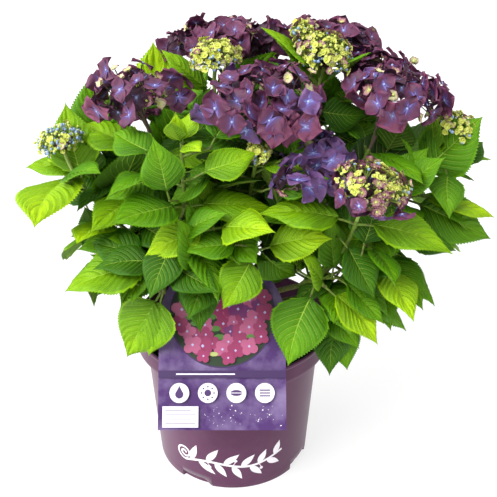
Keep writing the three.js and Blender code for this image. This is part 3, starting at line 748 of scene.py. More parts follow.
# Shares of the leaf's length and width, sizes in millimetres.
BLADE = dict(from_share=0.19, wide=0.315, rise=0.84, fall=1.42, tooth=0.024, hook=0.85, thick=0.6,
             fold=0.24, flare=0.2, wave=0.016, quilt=0.028, sweep=0.33, bow=1.12, veins=7, first_vein=0.03,
             last_vein=0.62, between=3, coarse=3, zone_rows=5, swell=0.7, flat_inside=0.12, flat_outside=0.15,
             least_tooth=0.25, full_tooth=12)
BLADE_ZONES = np.array([0, 4, 5, 6, 7])      # material slots from the petiole to the tip
BLADE_COLUMNS = (0, 0.08, 0.22, 0.38, 0.54, 0.7, 0.83, 0.94, 1.0)
VEIN = dict(steps=7, reach=0.94, wide=0.0085, taper=0.75, lift=0.35, edge=0.12, under=0.7, last=0.985,
            mid_steps=12, mid_reach=0.97, mid_wide=0.016, mid_taper=0.8, mid_lift=0.525, mid_edge=0.05,
            least=0.5, slot=3)
# How leaves differ: from and to, or how far either way.
VARY = dict(fall=(0.94, 1.08), wide=(0.92, 1.06), curl=(0.5, 1.3), waves=(1.2, 2.5), twist=0.5, sway=0.05)
PETIOLE = dict(full=90, foot=1.7, tip=1.2, until=0.24, steps=5, sides=6)


class Blade:
    """The surface of one leaf, by shares up it (0 to 1) and across it (-1 to 1)."""

    def __init__(self, leaf, settings):
        draw = seeded(leaf.seed * 7 + 3)
        self.leaf = leaf
        self.fall = settings.leaf_fall * lerp(*VARY["fall"], draw())
        self.wide = settings.leaf_width * lerp(*VARY["wide"], draw())
        self.twist = VARY["twist"] * (2 * draw() - 1)
        self.sway = VARY["sway"] * (2 * draw() - 1)
        self.curl = lerp(*VARY["curl"], draw())
        self.phases = [2 * math.pi * draw() for _ in range(4)]
        self.waves = lerp(*VARY["waves"], draw())
        self.quilt = settings.quilting
        self.peak = self.profile(BLADE["rise"] / (BLADE["rise"] + self.fall), 1)

    def profile(self, share, peak):
        share = np.clip(share, 0, 1)
        return share ** BLADE["rise"] * (1 - share) ** self.fall / peak

    def half(self, up):
        """Half the blade's width, in millimetres."""
        return self.leaf.length * self.wide * self.profile(up, self.peak)

    def point(self, up, out, lift=0.0, push=0.0, quilted=True):
        """The point at shares `up` and `out`, raised by `lift` and pushed outwards by `push` mm."""
        leaf = self.leaf
        up, out = np.broadcast_arrays(np.asarray(up, float), np.asarray(out, float))
        share = BLADE["from_share"] + (1 - BLADE["from_share"]) * up
        bare = leaf.midrib(share) + leaf.across * (self.sway * leaf.length * np.sin(math.pi * up))[..., None]
        normal = unit(leaf.face + leaf.along * (leaf.droop * share)[..., None])
        spin = (self.twist * (up - 0.3))[..., None]
        across = unit(leaf.across * np.cos(spin) + normal * np.sin(spin))
        normal = unit(normal * np.cos(spin) - leaf.across * np.sin(spin))
        half = self.half(up)
        side = np.abs(out)
        rise = half * (BLADE["fold"] * side - BLADE["flare"] * self.curl * side ** 2.2)
        ripple = np.sin(self.waves * 2 * math.pi * up + np.where(out > 0, self.phases[0], self.phases[1]))
        rise = rise + BLADE["wave"] * leaf.length * ripple * side ** 2 * np.sin(math.pi * up) ** 0.5
        if quilted:
            rise = rise + self.pillow(up, side) * leaf.length
        reach = out * half + np.sign(out) * push
        return bare + across * reach[..., None] + normal * (rise + lift)[..., None]

    def vein_share(self, up, side):
        """How many veins have been passed at a point, so that a whole number lies on a vein."""
        spacing = (BLADE["last_vein"] - BLADE["first_vein"]) / (BLADE["veins"] - 1)
        return (up - BLADE["sweep"] * side ** BLADE["bow"] - BLADE["first_vein"]) / spacing

    def pillow(self, up, side):
        """How the blade swells between its veins, per length."""
        swell = np.abs(np.sin(math.pi * self.vein_share(up, side))) ** BLADE["swell"]
        inner = np.clip(side / BLADE["flat_inside"], 0, 1)
        outer = np.clip((1 - side) / BLADE["flat_outside"], 0, 1)
        return self.quilt * swell * inner * outer * np.clip((1 - up) / BLADE["flat_outside"], 0, 1)


def vein_paths():
    """Rows that run out along the side veins, with more between them: (share at the midrib, how far
    the row sweeps up towards the tip at the margin)."""
    first, last, count = BLADE["first_vein"], BLADE["last_vein"], BLADE["veins"]
    below = [(first * share, share) for share in (0, 0.35, 0.7)]
    along = [(start, 1) for start in np.linspace(first, last, (count - 1) * BLADE["between"] + 1)]
    above = [(lerp(last, 1, share), 1 - share) for share in (0.25, 0.5, 0.75, 1)]
    return np.array(below + along + above)


def swept(paths, side):
    """Shares up the blade of rows at a share across it."""
    return paths[:, :1] + BLADE["sweep"] * np.abs(side) ** BLADE["bow"] * paths[:, 1:]


def add_blade(sheaf, blade):
    """A leaf's blade: a quilted upper face, a smooth lower face and a row of teeth along each margin."""
    paths = vein_paths()
    outs = np.array([-share for share in BLADE_COLUMNS[:0:-1]] + list(BLADE_COLUMNS))
    up = swept(paths, outs)
    out = np.broadcast_to(outs, up.shape)
    rows, columns = up.shape
    top = blade.point(up, out)
    faces = grid_faces(rows, columns)
    column = faces[:, 0] % columns
    rim = (column == 0) | (column == columns - 2)
    row = faces[:, 0] // columns
    zone = BLADE_ZONES[np.minimum(row // BLADE["zone_rows"], len(BLADE_ZONES) - 1)]
    sheaf.add(top, faces[:, ::-1], np.where(rim, 1, zone))
    low_up = swept(paths[np.r_[0:rows - 1:BLADE["coarse"], rows - 1]], outs[::2])
    low_out = np.broadcast_to(outs[::2], low_up.shape)
    margin = np.abs(low_out) > 0.999
    under = blade.point(low_up, low_out, lift=np.where(margin, 0, -BLADE["thick"]), quilted=False)
    sheaf.add(under, grid_faces(*low_up.shape), 2)
    for side, edge in ((-1, 0), (1, columns - 1)):
        foot, head = top[:-1, edge], top[1:, edge]
        between = lerp(up[:-1, edge], up[1:, edge], BLADE["hook"])
        size = BLADE["tooth"] * blade.leaf.length * np.clip(
            blade.half(between) / BLADE["full_tooth"], BLADE["least_tooth"], 1)
        tips = blade.point(between, np.full(rows - 1, float(side)), push=size)
        points = np.concatenate([foot, head, tips])
        index = np.arange(rows - 1)
        teeth = np.stack([index, index + rows - 1, index + 2 * (rows - 1)], -1)
        sheaf.add(points, teeth if side < 0 else teeth[:, ::-1], 1)


def add_ribbon(sheaf, blade, up, out, side):
    """A vein along a path on the blade's upper face, standing a little proud of it."""
    edges = [blade.point(up + way * side, out, lift=VEIN["edge"]) for way in (1, -1)]
    add_strip(sheaf, [edges[0], blade.point(up, out, lift=VEIN["lift"]), edges[1]], VEIN["slot"])


def add_rib(sheaf, blade, up, out, side, across):
    """A vein as it shows under the blade; its half width runs up the blade or across it."""
    edges = [blade.point(up + way * side, out + way * across, lift=-BLADE["thick"], quilted=False)
             for way in (-1, 1)]
    crest = blade.point(up, out, lift=-BLADE["thick"] - VEIN["under"], quilted=False)
    add_strip(sheaf, [edges[0], crest, edges[1]], VEIN["slot"])


def add_veins(sheaf, blade):
    """The midrib and the paired side veins of a leaf, on both faces."""
    ups = np.linspace(0, VEIN["mid_reach"], VEIN["mid_steps"])
    middle = np.zeros_like(ups)
    half = blade.leaf.length * VEIN["mid_wide"] * (1 - VEIN["mid_taper"] * ups) / 2
    share = half / np.maximum(blade.half(ups), VEIN["least"])
    add_strip(sheaf, [blade.point(ups, -share, lift=VEIN["mid_edge"]),
                      blade.point(ups, middle, lift=VEIN["mid_lift"]),
                      blade.point(ups, share, lift=VEIN["mid_edge"])], VEIN["slot"])
    steps = np.linspace(0, VEIN["reach"], VEIN["steps"])
    side = VEIN["wide"] * (1 - VEIN["taper"] * steps) / 2 / (1 - BLADE["from_share"])
    for start in np.linspace(BLADE["first_vein"], BLADE["last_vein"], BLADE["veins"]):
        path = np.minimum(start + BLADE["sweep"] * steps ** BLADE["bow"], VEIN["last"])
        for hand in (-1, 1):
            add_ribbon(sheaf, blade, path, hand * steps, side)
            add_rib(sheaf, blade, path[::2], hand * steps[::2], side[::2], 0)
    add_rib(sheaf, blade, ups[::2], middle[::2], 0, share[::2])


def add_petiole(sheaf, leaf):
    shares = np.linspace(0, PETIOLE["until"], PETIOLE["steps"])
    radii = lerp(PETIOLE["foot"], PETIOLE["tip"], shares / PETIOLE["until"])
    size = min(1.0, leaf.length / PETIOLE["full"])
    add_tube(sheaf, leaf.midrib(shares), radii * size, PETIOLE["sides"])


# ---- Canes, twigs and their finish ----

BARK = dict(step=5.0, joint=0.35, joint_wide=0.02, rough=0.05)


def limb_radii(curve, foot, tip, joints, count, seed):
    """Radii up a limb: its taper, a swelling at each pair of leaves, and small unevenness."""
    shares = np.linspace(0, 1, count)
    radii = lerp(foot, tip, shares)
    for joint in joints:
        radii = radii + foot * BARK["joint"] * np.exp(-((shares - joint) / BARK["joint_wide"]) ** 2)
    uneven = [noise.noise(Vector((seed * 3.1, share * curve.length() / 6, 0))) for share in shares]
    return radii * (1 + BARK["rough"] * np.array(uneven))


def add_limb(sheaf, curve, foot, tip, joints, seed, sides=8, slot=0, fine=BARK["step"]):
    count = max(4, round(curve.length() / fine))
    radii = limb_radii(curve, foot, tip, joints, count, seed)
    add_tube(sheaf, curve.point(np.linspace(0, 1, count)), radii, sides, slot)


# ---- Flower heads ----

SEPAL = dict(count=4, grid=(9, 7), young_grid=(6, 5), young=0.62, long=19.0, wide=22.5, rise=0.62, fall=1.12,
             ends=(0.015, 0.997), cup=0.26, bend=1.2, bend_spread=0.4, climb=0.6, climb_power=1.6, keel=0.16,
             wave=2.6, wave_across=3.1, wave_along=4, shortening=0.35, gap=0.6, turn_spread=0.14,
             sizes=(0.82, 1.12))
SEPAL_ZONES = (0.1, 0.22, 0.4, 0.86)      # where a sepal's heart, throat, middle and body end along it
# Florets deeper in a head than the shaded level may take the shaded family's dark sepals, as painted shade.
FLOWER = dict(more=3.1, spokes=5, top=0.74, tilt=1.45, shaded=0.38, deep=0.5, out=1.06, bud_out=0.98,
              pale_from=0.7, sizes=(0.88, 1.12), bead=1.4, bead_sizes=(0.8, 1.2), bead_above=1.2, fork=1.0,
              fork_from=0.5, fork_step=0.08, stem=0.6)
BUDS = dict(more=9, young=0.5, young_low=0.25, young_blue=0.1, blush=0.03, lime=0.85, size=1.7,
            sizes=(0.7, 1.2), sepal=4.2, sepal_sizes=(0.8, 1.3), opening=(0.25, 0.75), blush_size=1.5,
            blue=0.12, blue_low=0.6, knot=0.35, spread=7.5, dip=0.25, low_from=0.55, bead=1.1, fork=0.8,
            stem=0.4)
TIPPED = dict(young=0.4, blush=0.16)      # the share of a family's young florets that are blush
# Florets by kind: their size and how far they are open; and the chance up to which each kind is taken.
FLORETS = dict(shaded=(0.9, 0.8), budding=(0.5, 0.6), opening=(0.66, 0.75), cream=(0.46, 0.4),
               blush=(0.5, 0.5), violet=(0.96, 0.92), paler=(1.04, 0.95), own=(0.98, 0.9))
CHANCE = dict(lit=0.3, budding=0.3, plum=0.85, cream=0.13, blush=0.24, violet=0.33, paler=0.75)
STEM = dict(points=5, sides=4, knee=0.45, flares=np.array([1.3, 1, 1, 1, 1.2]))
FLORET_UP = UP + 0.3 * EAST
PALER = dict(plum="mauve", wine="plum")      # the family of the lighter florets low on a head


def add_sepal(sheaf, origin, along, across, up, size, open_share, draw):
    """One sepal, from its claw at `origin`, in bands from the heart to the rim."""
    rows, columns = SEPAL["grid" if size > SEPAL["young"] else "young_grid"]
    share, side = np.meshgrid(np.linspace(0, 1, rows), np.linspace(-1, 1, columns), indexing="ij")
    outline = np.clip(share, *SEPAL["ends"])
    peak_at = SEPAL["rise"] / (SEPAL["rise"] + SEPAL["fall"])
    peak = peak_at ** SEPAL["rise"] * (1 - peak_at) ** SEPAL["fall"]
    half = SEPAL["wide"] / 2 * outline ** SEPAL["rise"] * (1 - outline) ** SEPAL["fall"] / peak * size
    length = SEPAL["long"] * size
    bend = (1 - open_share) * SEPAL["bend"] + SEPAL["bend_spread"] * (2 * draw() - 1)
    wave, turn = SEPAL["wave"] * size, 2 * math.pi * draw()
    ripple = np.sin(SEPAL["wave_across"] * side + SEPAL["wave_along"] * share + turn)
    climb = length * (bend * share ** SEPAL["climb_power"] * SEPAL["climb"]
                      + SEPAL["cup"] * (share - share ** 2))
    climb = climb + side ** 2 * half * SEPAL["keel"] + wave * ripple * share
    reach = length * share * (1 - SEPAL["shortening"] * bend * share)
    points = origin + along * reach[..., None] + across * (half * side)[..., None] + up * climb[..., None]
    faces = grid_faces(rows, columns)
    row = faces[:, 0] // columns
    column = faces[:, 0] % columns
    middle = (row + 0.5) / (rows - 1)
    zone = np.searchsorted(SEPAL_ZONES, middle)
    zone = np.where((zone == 3) & ((column == 0) | (column == columns - 2)), 4, zone)
    sheaf.add(points, faces, zone)


def add_floret(sheaves, family, place, out, size, spin, open_share, draw):
    """An open floret: broad sepals round a bead, each pair lying over the next."""
    east, north = sides_of(out, FLORET_UP)
    for index, turn in enumerate(turns_of(SEPAL["count"])):
        along = spun(east, north, spin + turn + SEPAL["turn_spread"] * (2 * draw() - 1))
        across = np.cross(out, along)
        lift = SEPAL["gap"] * size * (index % 2)
        add_sepal(sheaves[family], place + out * lift, along, across, out,
                  size * lerp(*SEPAL["sizes"], draw()), open_share, draw)


BALL = ball(rings=3, sides=6)


def add_bead(sheaf, place, radius, slot):
    points, faces = BALL
    sheaf.add(points * radius + place, faces, slot)


def dome_spot(head, index, count, turn, size):
    """A place on a head's dome and the way out of it, by a spiral from the top down."""
    centre = np.array(head["centre"], float)
    axis = head_axis(head)
    rise = 1 - (index + 0.5) / count * (1 - math.cos(math.radians(HEAD["cover"])))
    ring = math.sqrt(max(0.0, 1 - rise * rise))
    wide, high = head["wide"] / 2, head["high"] / 2
    flat = ring * spun(*sides_of(axis, EAST), index * GOLDEN + turn)
    place = centre + size * (flat * wide + axis * rise * high)
    return place, unit(flat / wide + axis * rise / high)


def head_knot(head):
    """Where a head's stalk ends and its branches part."""
    return np.array(head["centre"], float) - head_axis(head) * head["high"] / 2 * HEAD["stalk_end"]


def stalk_curve(head, start, tangent):
    start = start + tangent * GAP
    end = head_knot(head)
    return Bend(start, start + tangent * HEAD["stalk_knee"] * np.linalg.norm(end - start), end)


def add_stem(sheaf, start, end, way, radius, slot=0):
    """A thin stem that leaves `start` and arrives at `end` along `way`."""
    span = np.linalg.norm(end - start)
    curve = Bend(start, end - way * span * STEM["knee"], end)
    line = curve.point(np.linspace(0, 1, STEM["points"]))
    add_tube(sheaf, line, radius * STEM["flares"], STEM["sides"], slot)


def add_head(sheaves, head, number, start, tangent):
    """A flower head: stalk, branches, and florets or buds by the source's spiral."""
    draw = seeded(number)
    turn = 2 * math.pi * draw()
    stalk = stalk_curve(head, start, tangent)
    add_limb(sheaves["stems"], stalk, STALK["foot"], STALK["tip"], (), number, sides=7,
             slot=1 if "buds" in head else 0)
    knot = head_knot(head)
    forks = [knot]
    for spoke in range(FLOWER["spokes"]):
        spot, _ = dome_spot(head, spoke + 4, FLOWER["spokes"] + 7, turn, 1)
        forks.append(lerp(knot, spot, 0.5))
        foot = stalk.point(FLOWER["fork_from"] + FLOWER["fork_step"] * spoke)
        add_stem(sheaves["stems"], foot, forks[-1], unit(spot - knot), FLOWER["fork"])
    florets = head.get("florets", 0)
    buds = head.get("buds", 0)
    open_share = florets / (florets + buds)
    draw = seeded(number + SEEDS["floret"])
    total = round((florets + buds) * FLOWER["more"] * head.get("share", 1))
    for index in range(total):
        is_open = index >= total * (1 - open_share)
        level = draw()
        size = lerp(FLOWER["deep"], FLOWER["out"], level) if is_open else FLOWER["bud_out"]
        place, out = dome_spot(head, index, total, turn, size)
        out = unit(out + FLOWER["tilt"] * (np.array([draw(), draw(), draw()]) - 0.5))
        spin = 2 * math.pi * draw()
        if is_open:
            family, grown, opening = floret_family(head, index / total, draw(), level)
            grown *= lerp(FLOWER["top"], 1, index / total) * lerp(*FLOWER["sizes"], draw())
            add_floret(sheaves, family, place, out, grown, spin, opening + 0.1 * draw(), draw)
            bead = FLOWER["bead"] * lerp(*FLOWER["bead_sizes"], draw())
            add_bead(sheaves["eyes"], place + out * FLOWER["bead_above"] * grown, bead,
                     1 if family in ("cream", "blush") else 0)
            fork = min(forks, key=lambda spot: np.linalg.norm(place - spot))
            add_stem(sheaves["stems"], fork, place - out, out, FLOWER["stem"])
        else:
            add_bud_tuft(sheaves, head["family"], place, out, knot, index / total, draw)


def floret_family(head, share, chance, level):
    """A floret's colours, its size and how far it is open: dark ones deep in a head, which are painted
    shade, lighter ones low on it, and a few young ones between."""
    family, pale = head["family"], head.get("pale", 0)
    low = share > head.get("low", FLOWER["pale_from"])
    if level < FLOWER["shaded"] and chance > CHANCE["lit"] + pale:
        return "shaded", *FLORETS["shaded"]
    if family == "young" and chance < CHANCE["budding"]:
        return "blush", *FLORETS["budding"]
    if family == "young":
        return ("plum" if chance < CHANCE["plum"] else "violet"), *FLORETS["opening"]
    for kind in ("cream", "blush"):
        if chance < CHANCE[kind] + pale:
            return kind, *FLORETS[kind]
    if family == "plum" and chance < CHANCE["violet"]:
        return "violet", *FLORETS["violet"]
    if family in PALER and low and chance < CHANCE["paler"]:
        return PALER[family], *FLORETS["paler"]
    return family, *FLORETS["own"]


def add_bud_tuft(sheaves, family, place, out, knot, share, draw):
    """A tuft of closed buds on thin stems, with young florets among them."""
    blue, low = family == "blue", share > BUDS["low_from"]
    young = BUDS["young_blue" if blue else "young_low" if low else "young"]
    east, north = sides_of(out, FLORET_UP)
    fork = lerp(knot, place, 1 - BUDS["knot"])
    add_stem(sheaves["stems"], knot, fork, unit(fork - knot), BUDS["fork"])
    for index in range(BUDS["more"]):
        angle = index * GOLDEN + 6 * draw()
        away = BUDS["spread"] * math.sqrt((index + 0.5) / BUDS["more"])
        spot = place + spun(east, north, angle) * away - out * away * BUDS["dip"] * draw()
        way = unit(spot - fork)
        if draw() < young:
            blush = draw() < TIPPED.get(family, BUDS["blush"])
            kind = "blush" if blush else "lime" if draw() < BUDS["lime"] else "cream"
            grown = BUDS["sepal"] / SEPAL["long"] * (BUDS["blush_size"] if blush else 1)
            add_floret(sheaves, kind, spot, way, grown * lerp(*BUDS["sepal_sizes"], draw()), 6 * draw(),
                       lerp(*BUDS["opening"], draw()), draw)
            add_bead(sheaves["eyes"], spot + way, BUDS["bead"], 1)
        else:
            radius = BUDS["size"] * lerp(*BUDS["sizes"], draw())
            ripe = draw() < BUDS["blue_low" if low or blue else "blue"]
            add_bead(sheaves["eyes"], spot, radius, 2 if ripe else 1)
        add_stem(sheaves["stems"], fork, spot, way, BUDS["stem"], 1)


# ---- The pot, its mix and the label ----

POT_TURNS = 168
CORNER_SHARE = 0.45       # how much of a side a rounded corner may take
WALL_STEP = POT["height"] - POT["collar"]


def wall_radius(z):
    return lerp(POT["foot"], POT["wall_top"], z / WALL_STEP)


def rounded(points, reach):
    """An outline whose corners are rounded off, `reach` millimetres back from each."""
    points = [np.array(point, float) for point in points]
    line = [points[0]]
    for before, corner, after in zip(points, points[1:], points[2:]):
        back, ahead = (min(reach, np.linalg.norm(end - corner) * CORNER_SHARE) for end in (before, after))
        bend = Bend(corner + unit(before - corner) * back, corner, corner + unit(after - corner) * ahead)
        line.extend(bend.point(np.linspace(0, 1, 4)))
    return line + [points[-1]]


def notch_middles():
    return [NOTCH["first"] + index * 360 / NOTCH["count"] for index in range(NOTCH["count"])]


def notch_ceilings(angles):
    """For each angle in degrees, how high the notch in the pot's foot reaches there, or 0."""
    ceilings = np.zeros(len(angles))
    for middle in notch_middles():
        start = (angles - (middle - NOTCH["wide"] / 2)) % 360
        share = np.minimum(1, 0.1 + (NOTCH["wide"] - start) / NOTCH["slope"])
        ceilings = np.where(start < NOTCH["wide"], NOTCH["high"] * share, ceilings)
    return ceilings


def pot_angles():
    """Angles round the pot, doubled at the ends of each notch so that its sides are crisp."""
    ends = [(middle + side * NOTCH["wide"] / 2 + way * NOTCH["crisp"]) % 360
            for middle in notch_middles() for side in (-1, 1) for way in (-1, 1)]
    return np.array(sorted([*np.degrees(turns_of(POT_TURNS)), *ends]))


def build_pot(finishes):
    wall, rim, height, foot, high = POT["wall"], POT["rim"], POT["height"], POT["foot"], NOTCH["high"]
    outside = rounded([
        (foot - 7, 0.8), (foot - 2, 0), (foot, 0), (wall_radius(high + 8), high + 8),
        (POT["wall_top"], WALL_STEP), (POT["collar_foot"], WALL_STEP + 1),
        (POT["collar_foot"] + 0.8, WALL_STEP + 5), (rim - 1.2, height - 5), (rim, height - 3.6),
        (rim, height), (rim - wall, height), (rim - wall - 0.4, height - 4),
        (POT["collar_foot"] - wall, WALL_STEP + 4),
        (POT["wall_top"] - wall, WALL_STEP - 4), (POT["wall_top"] - wall, SOIL["level"] - 12),
        (0, SOIL["level"] - 12),
    ], 1.1)
    profile = [(0, 0.8), *outside]
    angles = pot_angles()
    ceilings = notch_ceilings(angles)
    ceiling = np.where(ceilings > 0, ceilings, high)
    rows = [(radius, np.full(len(angles), z)) for radius, z in profile]
    rise = next(index for index, (_, z) in enumerate(profile) if z > high + 1)
    rows[rise:rise] = [(wall_radius(high), ceiling + way * NOTCH["crisp"]) for way in (-1, 1)]
    rings = []
    for radius, heights in rows:
        cut = (ceilings > 0) & (heights < ceilings) & (radius > foot - NOTCH["deep"])
        rings.append(polar(np.where(cut, foot - NOTCH["deep"], radius), np.radians(angles), heights))
    sheaf = Sheaf()
    sheaf.add(rings, grid_faces(len(rings), len(angles), closed=True))
    sheaf.piece("pot_shell", finishes, "pot", ["pot"])


PRINT = dict(proud=0.12, middle=38, left=-60, right=62, wave=5.0, waves=2.2, climb=12, stem=3.2, curl=11,
             curl_turns=1.8, curl_end=2, curl_wide=2.6, leaves=11, leaf=25.0, leaf_wide=8.6, leaf_steps=9,
             splay=0.9, berry=2.1, twig=0.9)


def wrapped(points):
    """Print on the pot's wall: x runs round the front in millimetres, y up the wall from the floor."""
    points = np.asarray(points, float)
    radius = wall_radius(points[:, 1]) + PRINT["proud"]
    angle = points[:, 0] / wall_radius(PRINT["middle"]) - math.pi / 2
    return np.stack([radius * np.cos(angle), radius * np.sin(angle), points[:, 1]], -1)


def leaf_outline(root, way, long, wide):
    """A flat pointed leaf: strip points either side of its midrib."""
    share = np.linspace(0, 1, PRINT["leaf_steps"])[:, None]
    way = np.array([math.cos(way), math.sin(way)])
    aside = np.array([-way[1], way[0]])
    middle = np.array(root) + way * long * share
    half = wide / 2 * np.sin(math.pi * share ** 0.8)
    return [middle + aside * half, middle, middle - aside * half]


def ribbon_outline(line, wide):
    line = np.asarray(line, float)
    along = unit(np.gradient(line, axis=0))
    aside = np.stack([-along[:, 1], along[:, 0]], -1) * wide / 2
    return [line + aside, line, line - aside]


def disc_outline(x, y, radius, sides, squash=1.0):
    angles = turns_of(sides)
    return np.stack([x + radius * np.cos(angles), y + radius * squash * np.sin(angles)], -1)


def build_pot_print(finishes):
    """A plain climbing sprig printed on the pot, with berries under it."""
    sheaf = Sheaf()

    def stroke(lines):
        add_strip(sheaf, [wrapped(line) for line in lines], 0)

    across = np.linspace(PRINT["left"], PRINT["right"], 60)
    swing = (across - PRINT["left"]) / (PRINT["right"] - PRINT["left"])
    height = (PRINT["middle"] + PRINT["wave"] * np.sin(swing * PRINT["waves"] * math.pi)
              + PRINT["climb"] * (swing - 0.5))
    stem = np.stack([across, height], -1)
    stroke(ribbon_outline(stem, PRINT["stem"]))
    turns = np.linspace(0, PRINT["curl_turns"] * 2 * math.pi, 50)
    curl = PRINT["curl"] * (1 - turns / (PRINT["curl_end"] * 2 * math.pi))
    spiral = stem[0] + (0, PRINT["curl"]) + np.stack([-curl * np.sin(turns), -curl * np.cos(turns)], -1)
    stroke(ribbon_outline(spiral, PRINT["curl_wide"]))
    for index in range(1, PRINT["leaves"] + 1):
        root = stem[5 * index - 1]
        along = stem[5 * index] - root
        side = 1 if index % 2 else -1
        way = math.atan2(along[1], along[0]) + side * PRINT["splay"]
        stroke(leaf_outline(root, way, PRINT["leaf"] * (1.15 - 0.03 * index), PRINT["leaf_wide"]))
        if index % 3 == 0:
            berry = root + (4, -side * 8.0)
            add_patch(sheaf, disc_outline(*berry, PRINT["berry"], 20), wrapped, 0)
            stroke(ribbon_outline([root, (root + berry) / 2 + (1, 0), berry], PRINT["twig"]))
    sheaf.piece("pot_print", finishes, "pot", smooth=False)


def build_soil(finishes):
    """Potting mix: a lumpy top that falls from the crown to the wall, with loose crumbs."""
    rings, turns = SOIL["rings"], SOIL["turns"]
    edge = wall_radius(SOIL["level"]) - POT["inner"] - 0.5
    draw = seeded(31)
    radii, angles = np.meshgrid(np.linspace(0.5, edge, rings), turns_of(turns), indexing="ij")
    top = CROWN["base"] + SOIL["top"]
    height = SOIL["level"] + SOIL["mound"] * np.clip((edge - radii) / (edge - top), 0, 1)
    x, y = radii * np.cos(angles), radii * np.sin(angles)
    lumps = np.array([noise.fractal(Vector((*place, 0)) / SOIL["lump_size"], 0.8, 2.2, 4)
                      for place in zip(x.flat, y.flat)]).reshape(x.shape)
    height = height + SOIL["lumps"] * (lumps - 0.3) * (radii > CROWN["base"] + 4)
    foot = POT["base"] + GAP
    low = polar(wall_radius(foot) - POT["inner"] - 1, angles[-1], foot)
    sheaf = Sheaf()
    sheaf.add(np.concatenate([np.stack([x, y, height], -1), low[None], low[None] * (0.01, 0.01, 1)]),
              grid_faces(rings + 2, turns, closed=True))
    for _ in range(SOIL["crumbs"]):
        reach = lerp(CROWN["base"] + 6, edge - 4, math.sqrt(draw()))
        angle = 2 * math.pi * draw()
        size = lerp(SOIL["least"], SOIL["most"], draw() ** 2)
        points, faces = BALL
        high = SOIL["level"] + SOIL["mound"] * min(1, (edge - reach) / (edge - top)) + 0.4 * size
        place = polar(reach, angle, high)
        uneven = np.array([[0.7 + 0.5 * draw()] for _ in points])
        sheaf.add(points * uneven * size * (1, 1, 0.75) + place, faces, 1 if draw() < 0.12 else 0)
    sheaf.piece("potting_mix", finishes, "soil", ["soil"], smooth=False)


# ---- The label ----

LEAN = math.radians(LABEL["lean"])
CARD_OUT = np.array([0, -math.cos(LEAN), math.sin(LEAN)])
CARD_UP = np.array([0, math.sin(LEAN), math.cos(LEAN)])
CARD_BACK = np.array([LABEL["centre"], -POT["rim"], POT["height"]]) + CARD_OUT * GAP


def on_card(points, lift):
    """Points drawn on the card, x to the right and y up its slope from the rim's height."""
    points = np.asarray(points, float)
    return (CARD_BACK + EAST * points[:, :1] + CARD_UP * points[:, 1:2]
            + CARD_OUT * (LABEL["thick"] + lift))


def card_outline():
    half = LABEL["width"] / 2
    low, high = -LABEL["below"], LABEL["height"] - LABEL["below"] - half
    arc = np.linspace(0, math.pi, LABEL["arc_steps"])
    return np.concatenate([[(-half, low), (half, low)],
                           np.stack([half * np.cos(arc), high + half * np.sin(arc)], -1)])


# The card's finishes in the order of their slots.
INK = {name: slot for slot, name in enumerate((
    "ground", "shadow", "dark_leaf", "leaf", "rose", "plum", "white", "tint", "back", "rule", "pink",
    "pale_leaf", "eye"))}


class Ink:
    """Flat printed shapes on the card, each on top of the ones before it."""

    def __init__(self, sheaf):
        self.sheaf = sheaf
        self.level = 0.0

    def layer(self, outline, ink):
        self.level += LABEL["ply"]
        add_patch(self.sheaf, outline, lambda points: on_card(points, self.level), INK[ink])

    def disc(self, x, y, radius, ink, sides=28, squash=1.0):
        self.layer(disc_outline(x, y, radius, sides, squash), ink)

    def box(self, left, low, right, high, ink):
        self.layer(np.array([(left, low), (right, low), (right, high), (left, high)], float), ink)

    def stroke(self, left, right, y, wide, ink):
        self.box(left, y - wide / 2, right, y + wide / 2, ink)

    def discs_round(self, x, y, away, turns, radius, ink, sides):
        for turn in turns:
            self.disc(x + away * math.cos(turn), y + away * math.sin(turn), radius, ink, sides)


def print_picture(ink, draw):
    """A round picture of plain blossoms on dark leaves."""
    x, y, radius = LABEL["picture"]
    ink.disc(x, y, radius, "shadow", 56)
    ink.disc(x, y, radius - LABEL["picture_rim"], "dark_leaf", 56)
    for index in range(LABEL["blossoms"]):
        away = (radius - 8) * math.sqrt((index + 0.5) / LABEL["blossoms"])
        bx, by = x + away * math.cos(index * GOLDEN), y + away * math.sin(index * GOLDEN)
        if draw() < 0.26:
            ink.disc(bx, by, 4.5 + 2.5 * draw(), "leaf" if draw() < 0.7 else "pale_leaf", 7, 0.5)
            continue
        size, spin = 4.0 + 2.4 * draw(), 6 * draw()
        colour = ("rose", "plum", "rose", "pink")[int(4 * draw())]
        ink.discs_round(bx, by, size, spin + turns_of(4), size * LABEL["petal"], colour, 9)
        ink.disc(bx, by, size * LABEL["eye"], "eye", 4)


def print_signs(ink, half, y):
    """Plain signs of care: a drop, a sun, a leaf and three strokes."""
    drop, sun, leaf, strokes = (-half + LABEL["width"] * (index + 0.75) / 4.5 for index in range(4))
    ink.disc(drop, y, LABEL["sign"], "white")
    ink.disc(drop, y - 1.5, 4.4, "tint", 20)
    ink.layer(np.array([(drop - 4.0, y), (drop + 4.0, y), (drop, y + 7.4)]), "tint")
    ink.disc(sun, y, LABEL["sign"], "white")
    ink.disc(sun, y, 3.6, "tint", 20)
    ink.discs_round(sun, y, 6.6, turns_of(8), 1.0, "tint", 6)
    ink.disc(leaf, y, LABEL["sign"], "white")
    ink.disc(leaf, y, 6.4, "tint", 20, 0.5)
    ink.stroke(leaf - 8, leaf + 8, y, 0.7, "white")
    ink.disc(strokes, y, LABEL["sign"], "white")
    for step in (-3, 0, 3):
        ink.stroke(strokes - 5.6, strokes + 5.6, y + step, 1.4, "tint")


def print_patch(ink):
    """A pale patch with plain rules."""
    left, low, right, high = LABEL["patch"]
    ink.box(left, low, right, high, "white")
    for line in range(4):
        ink.stroke(left + 3, right - 3 - 5 * (line % 2), lerp(low, high, (line + 1) / 5), 0.9, "rule")


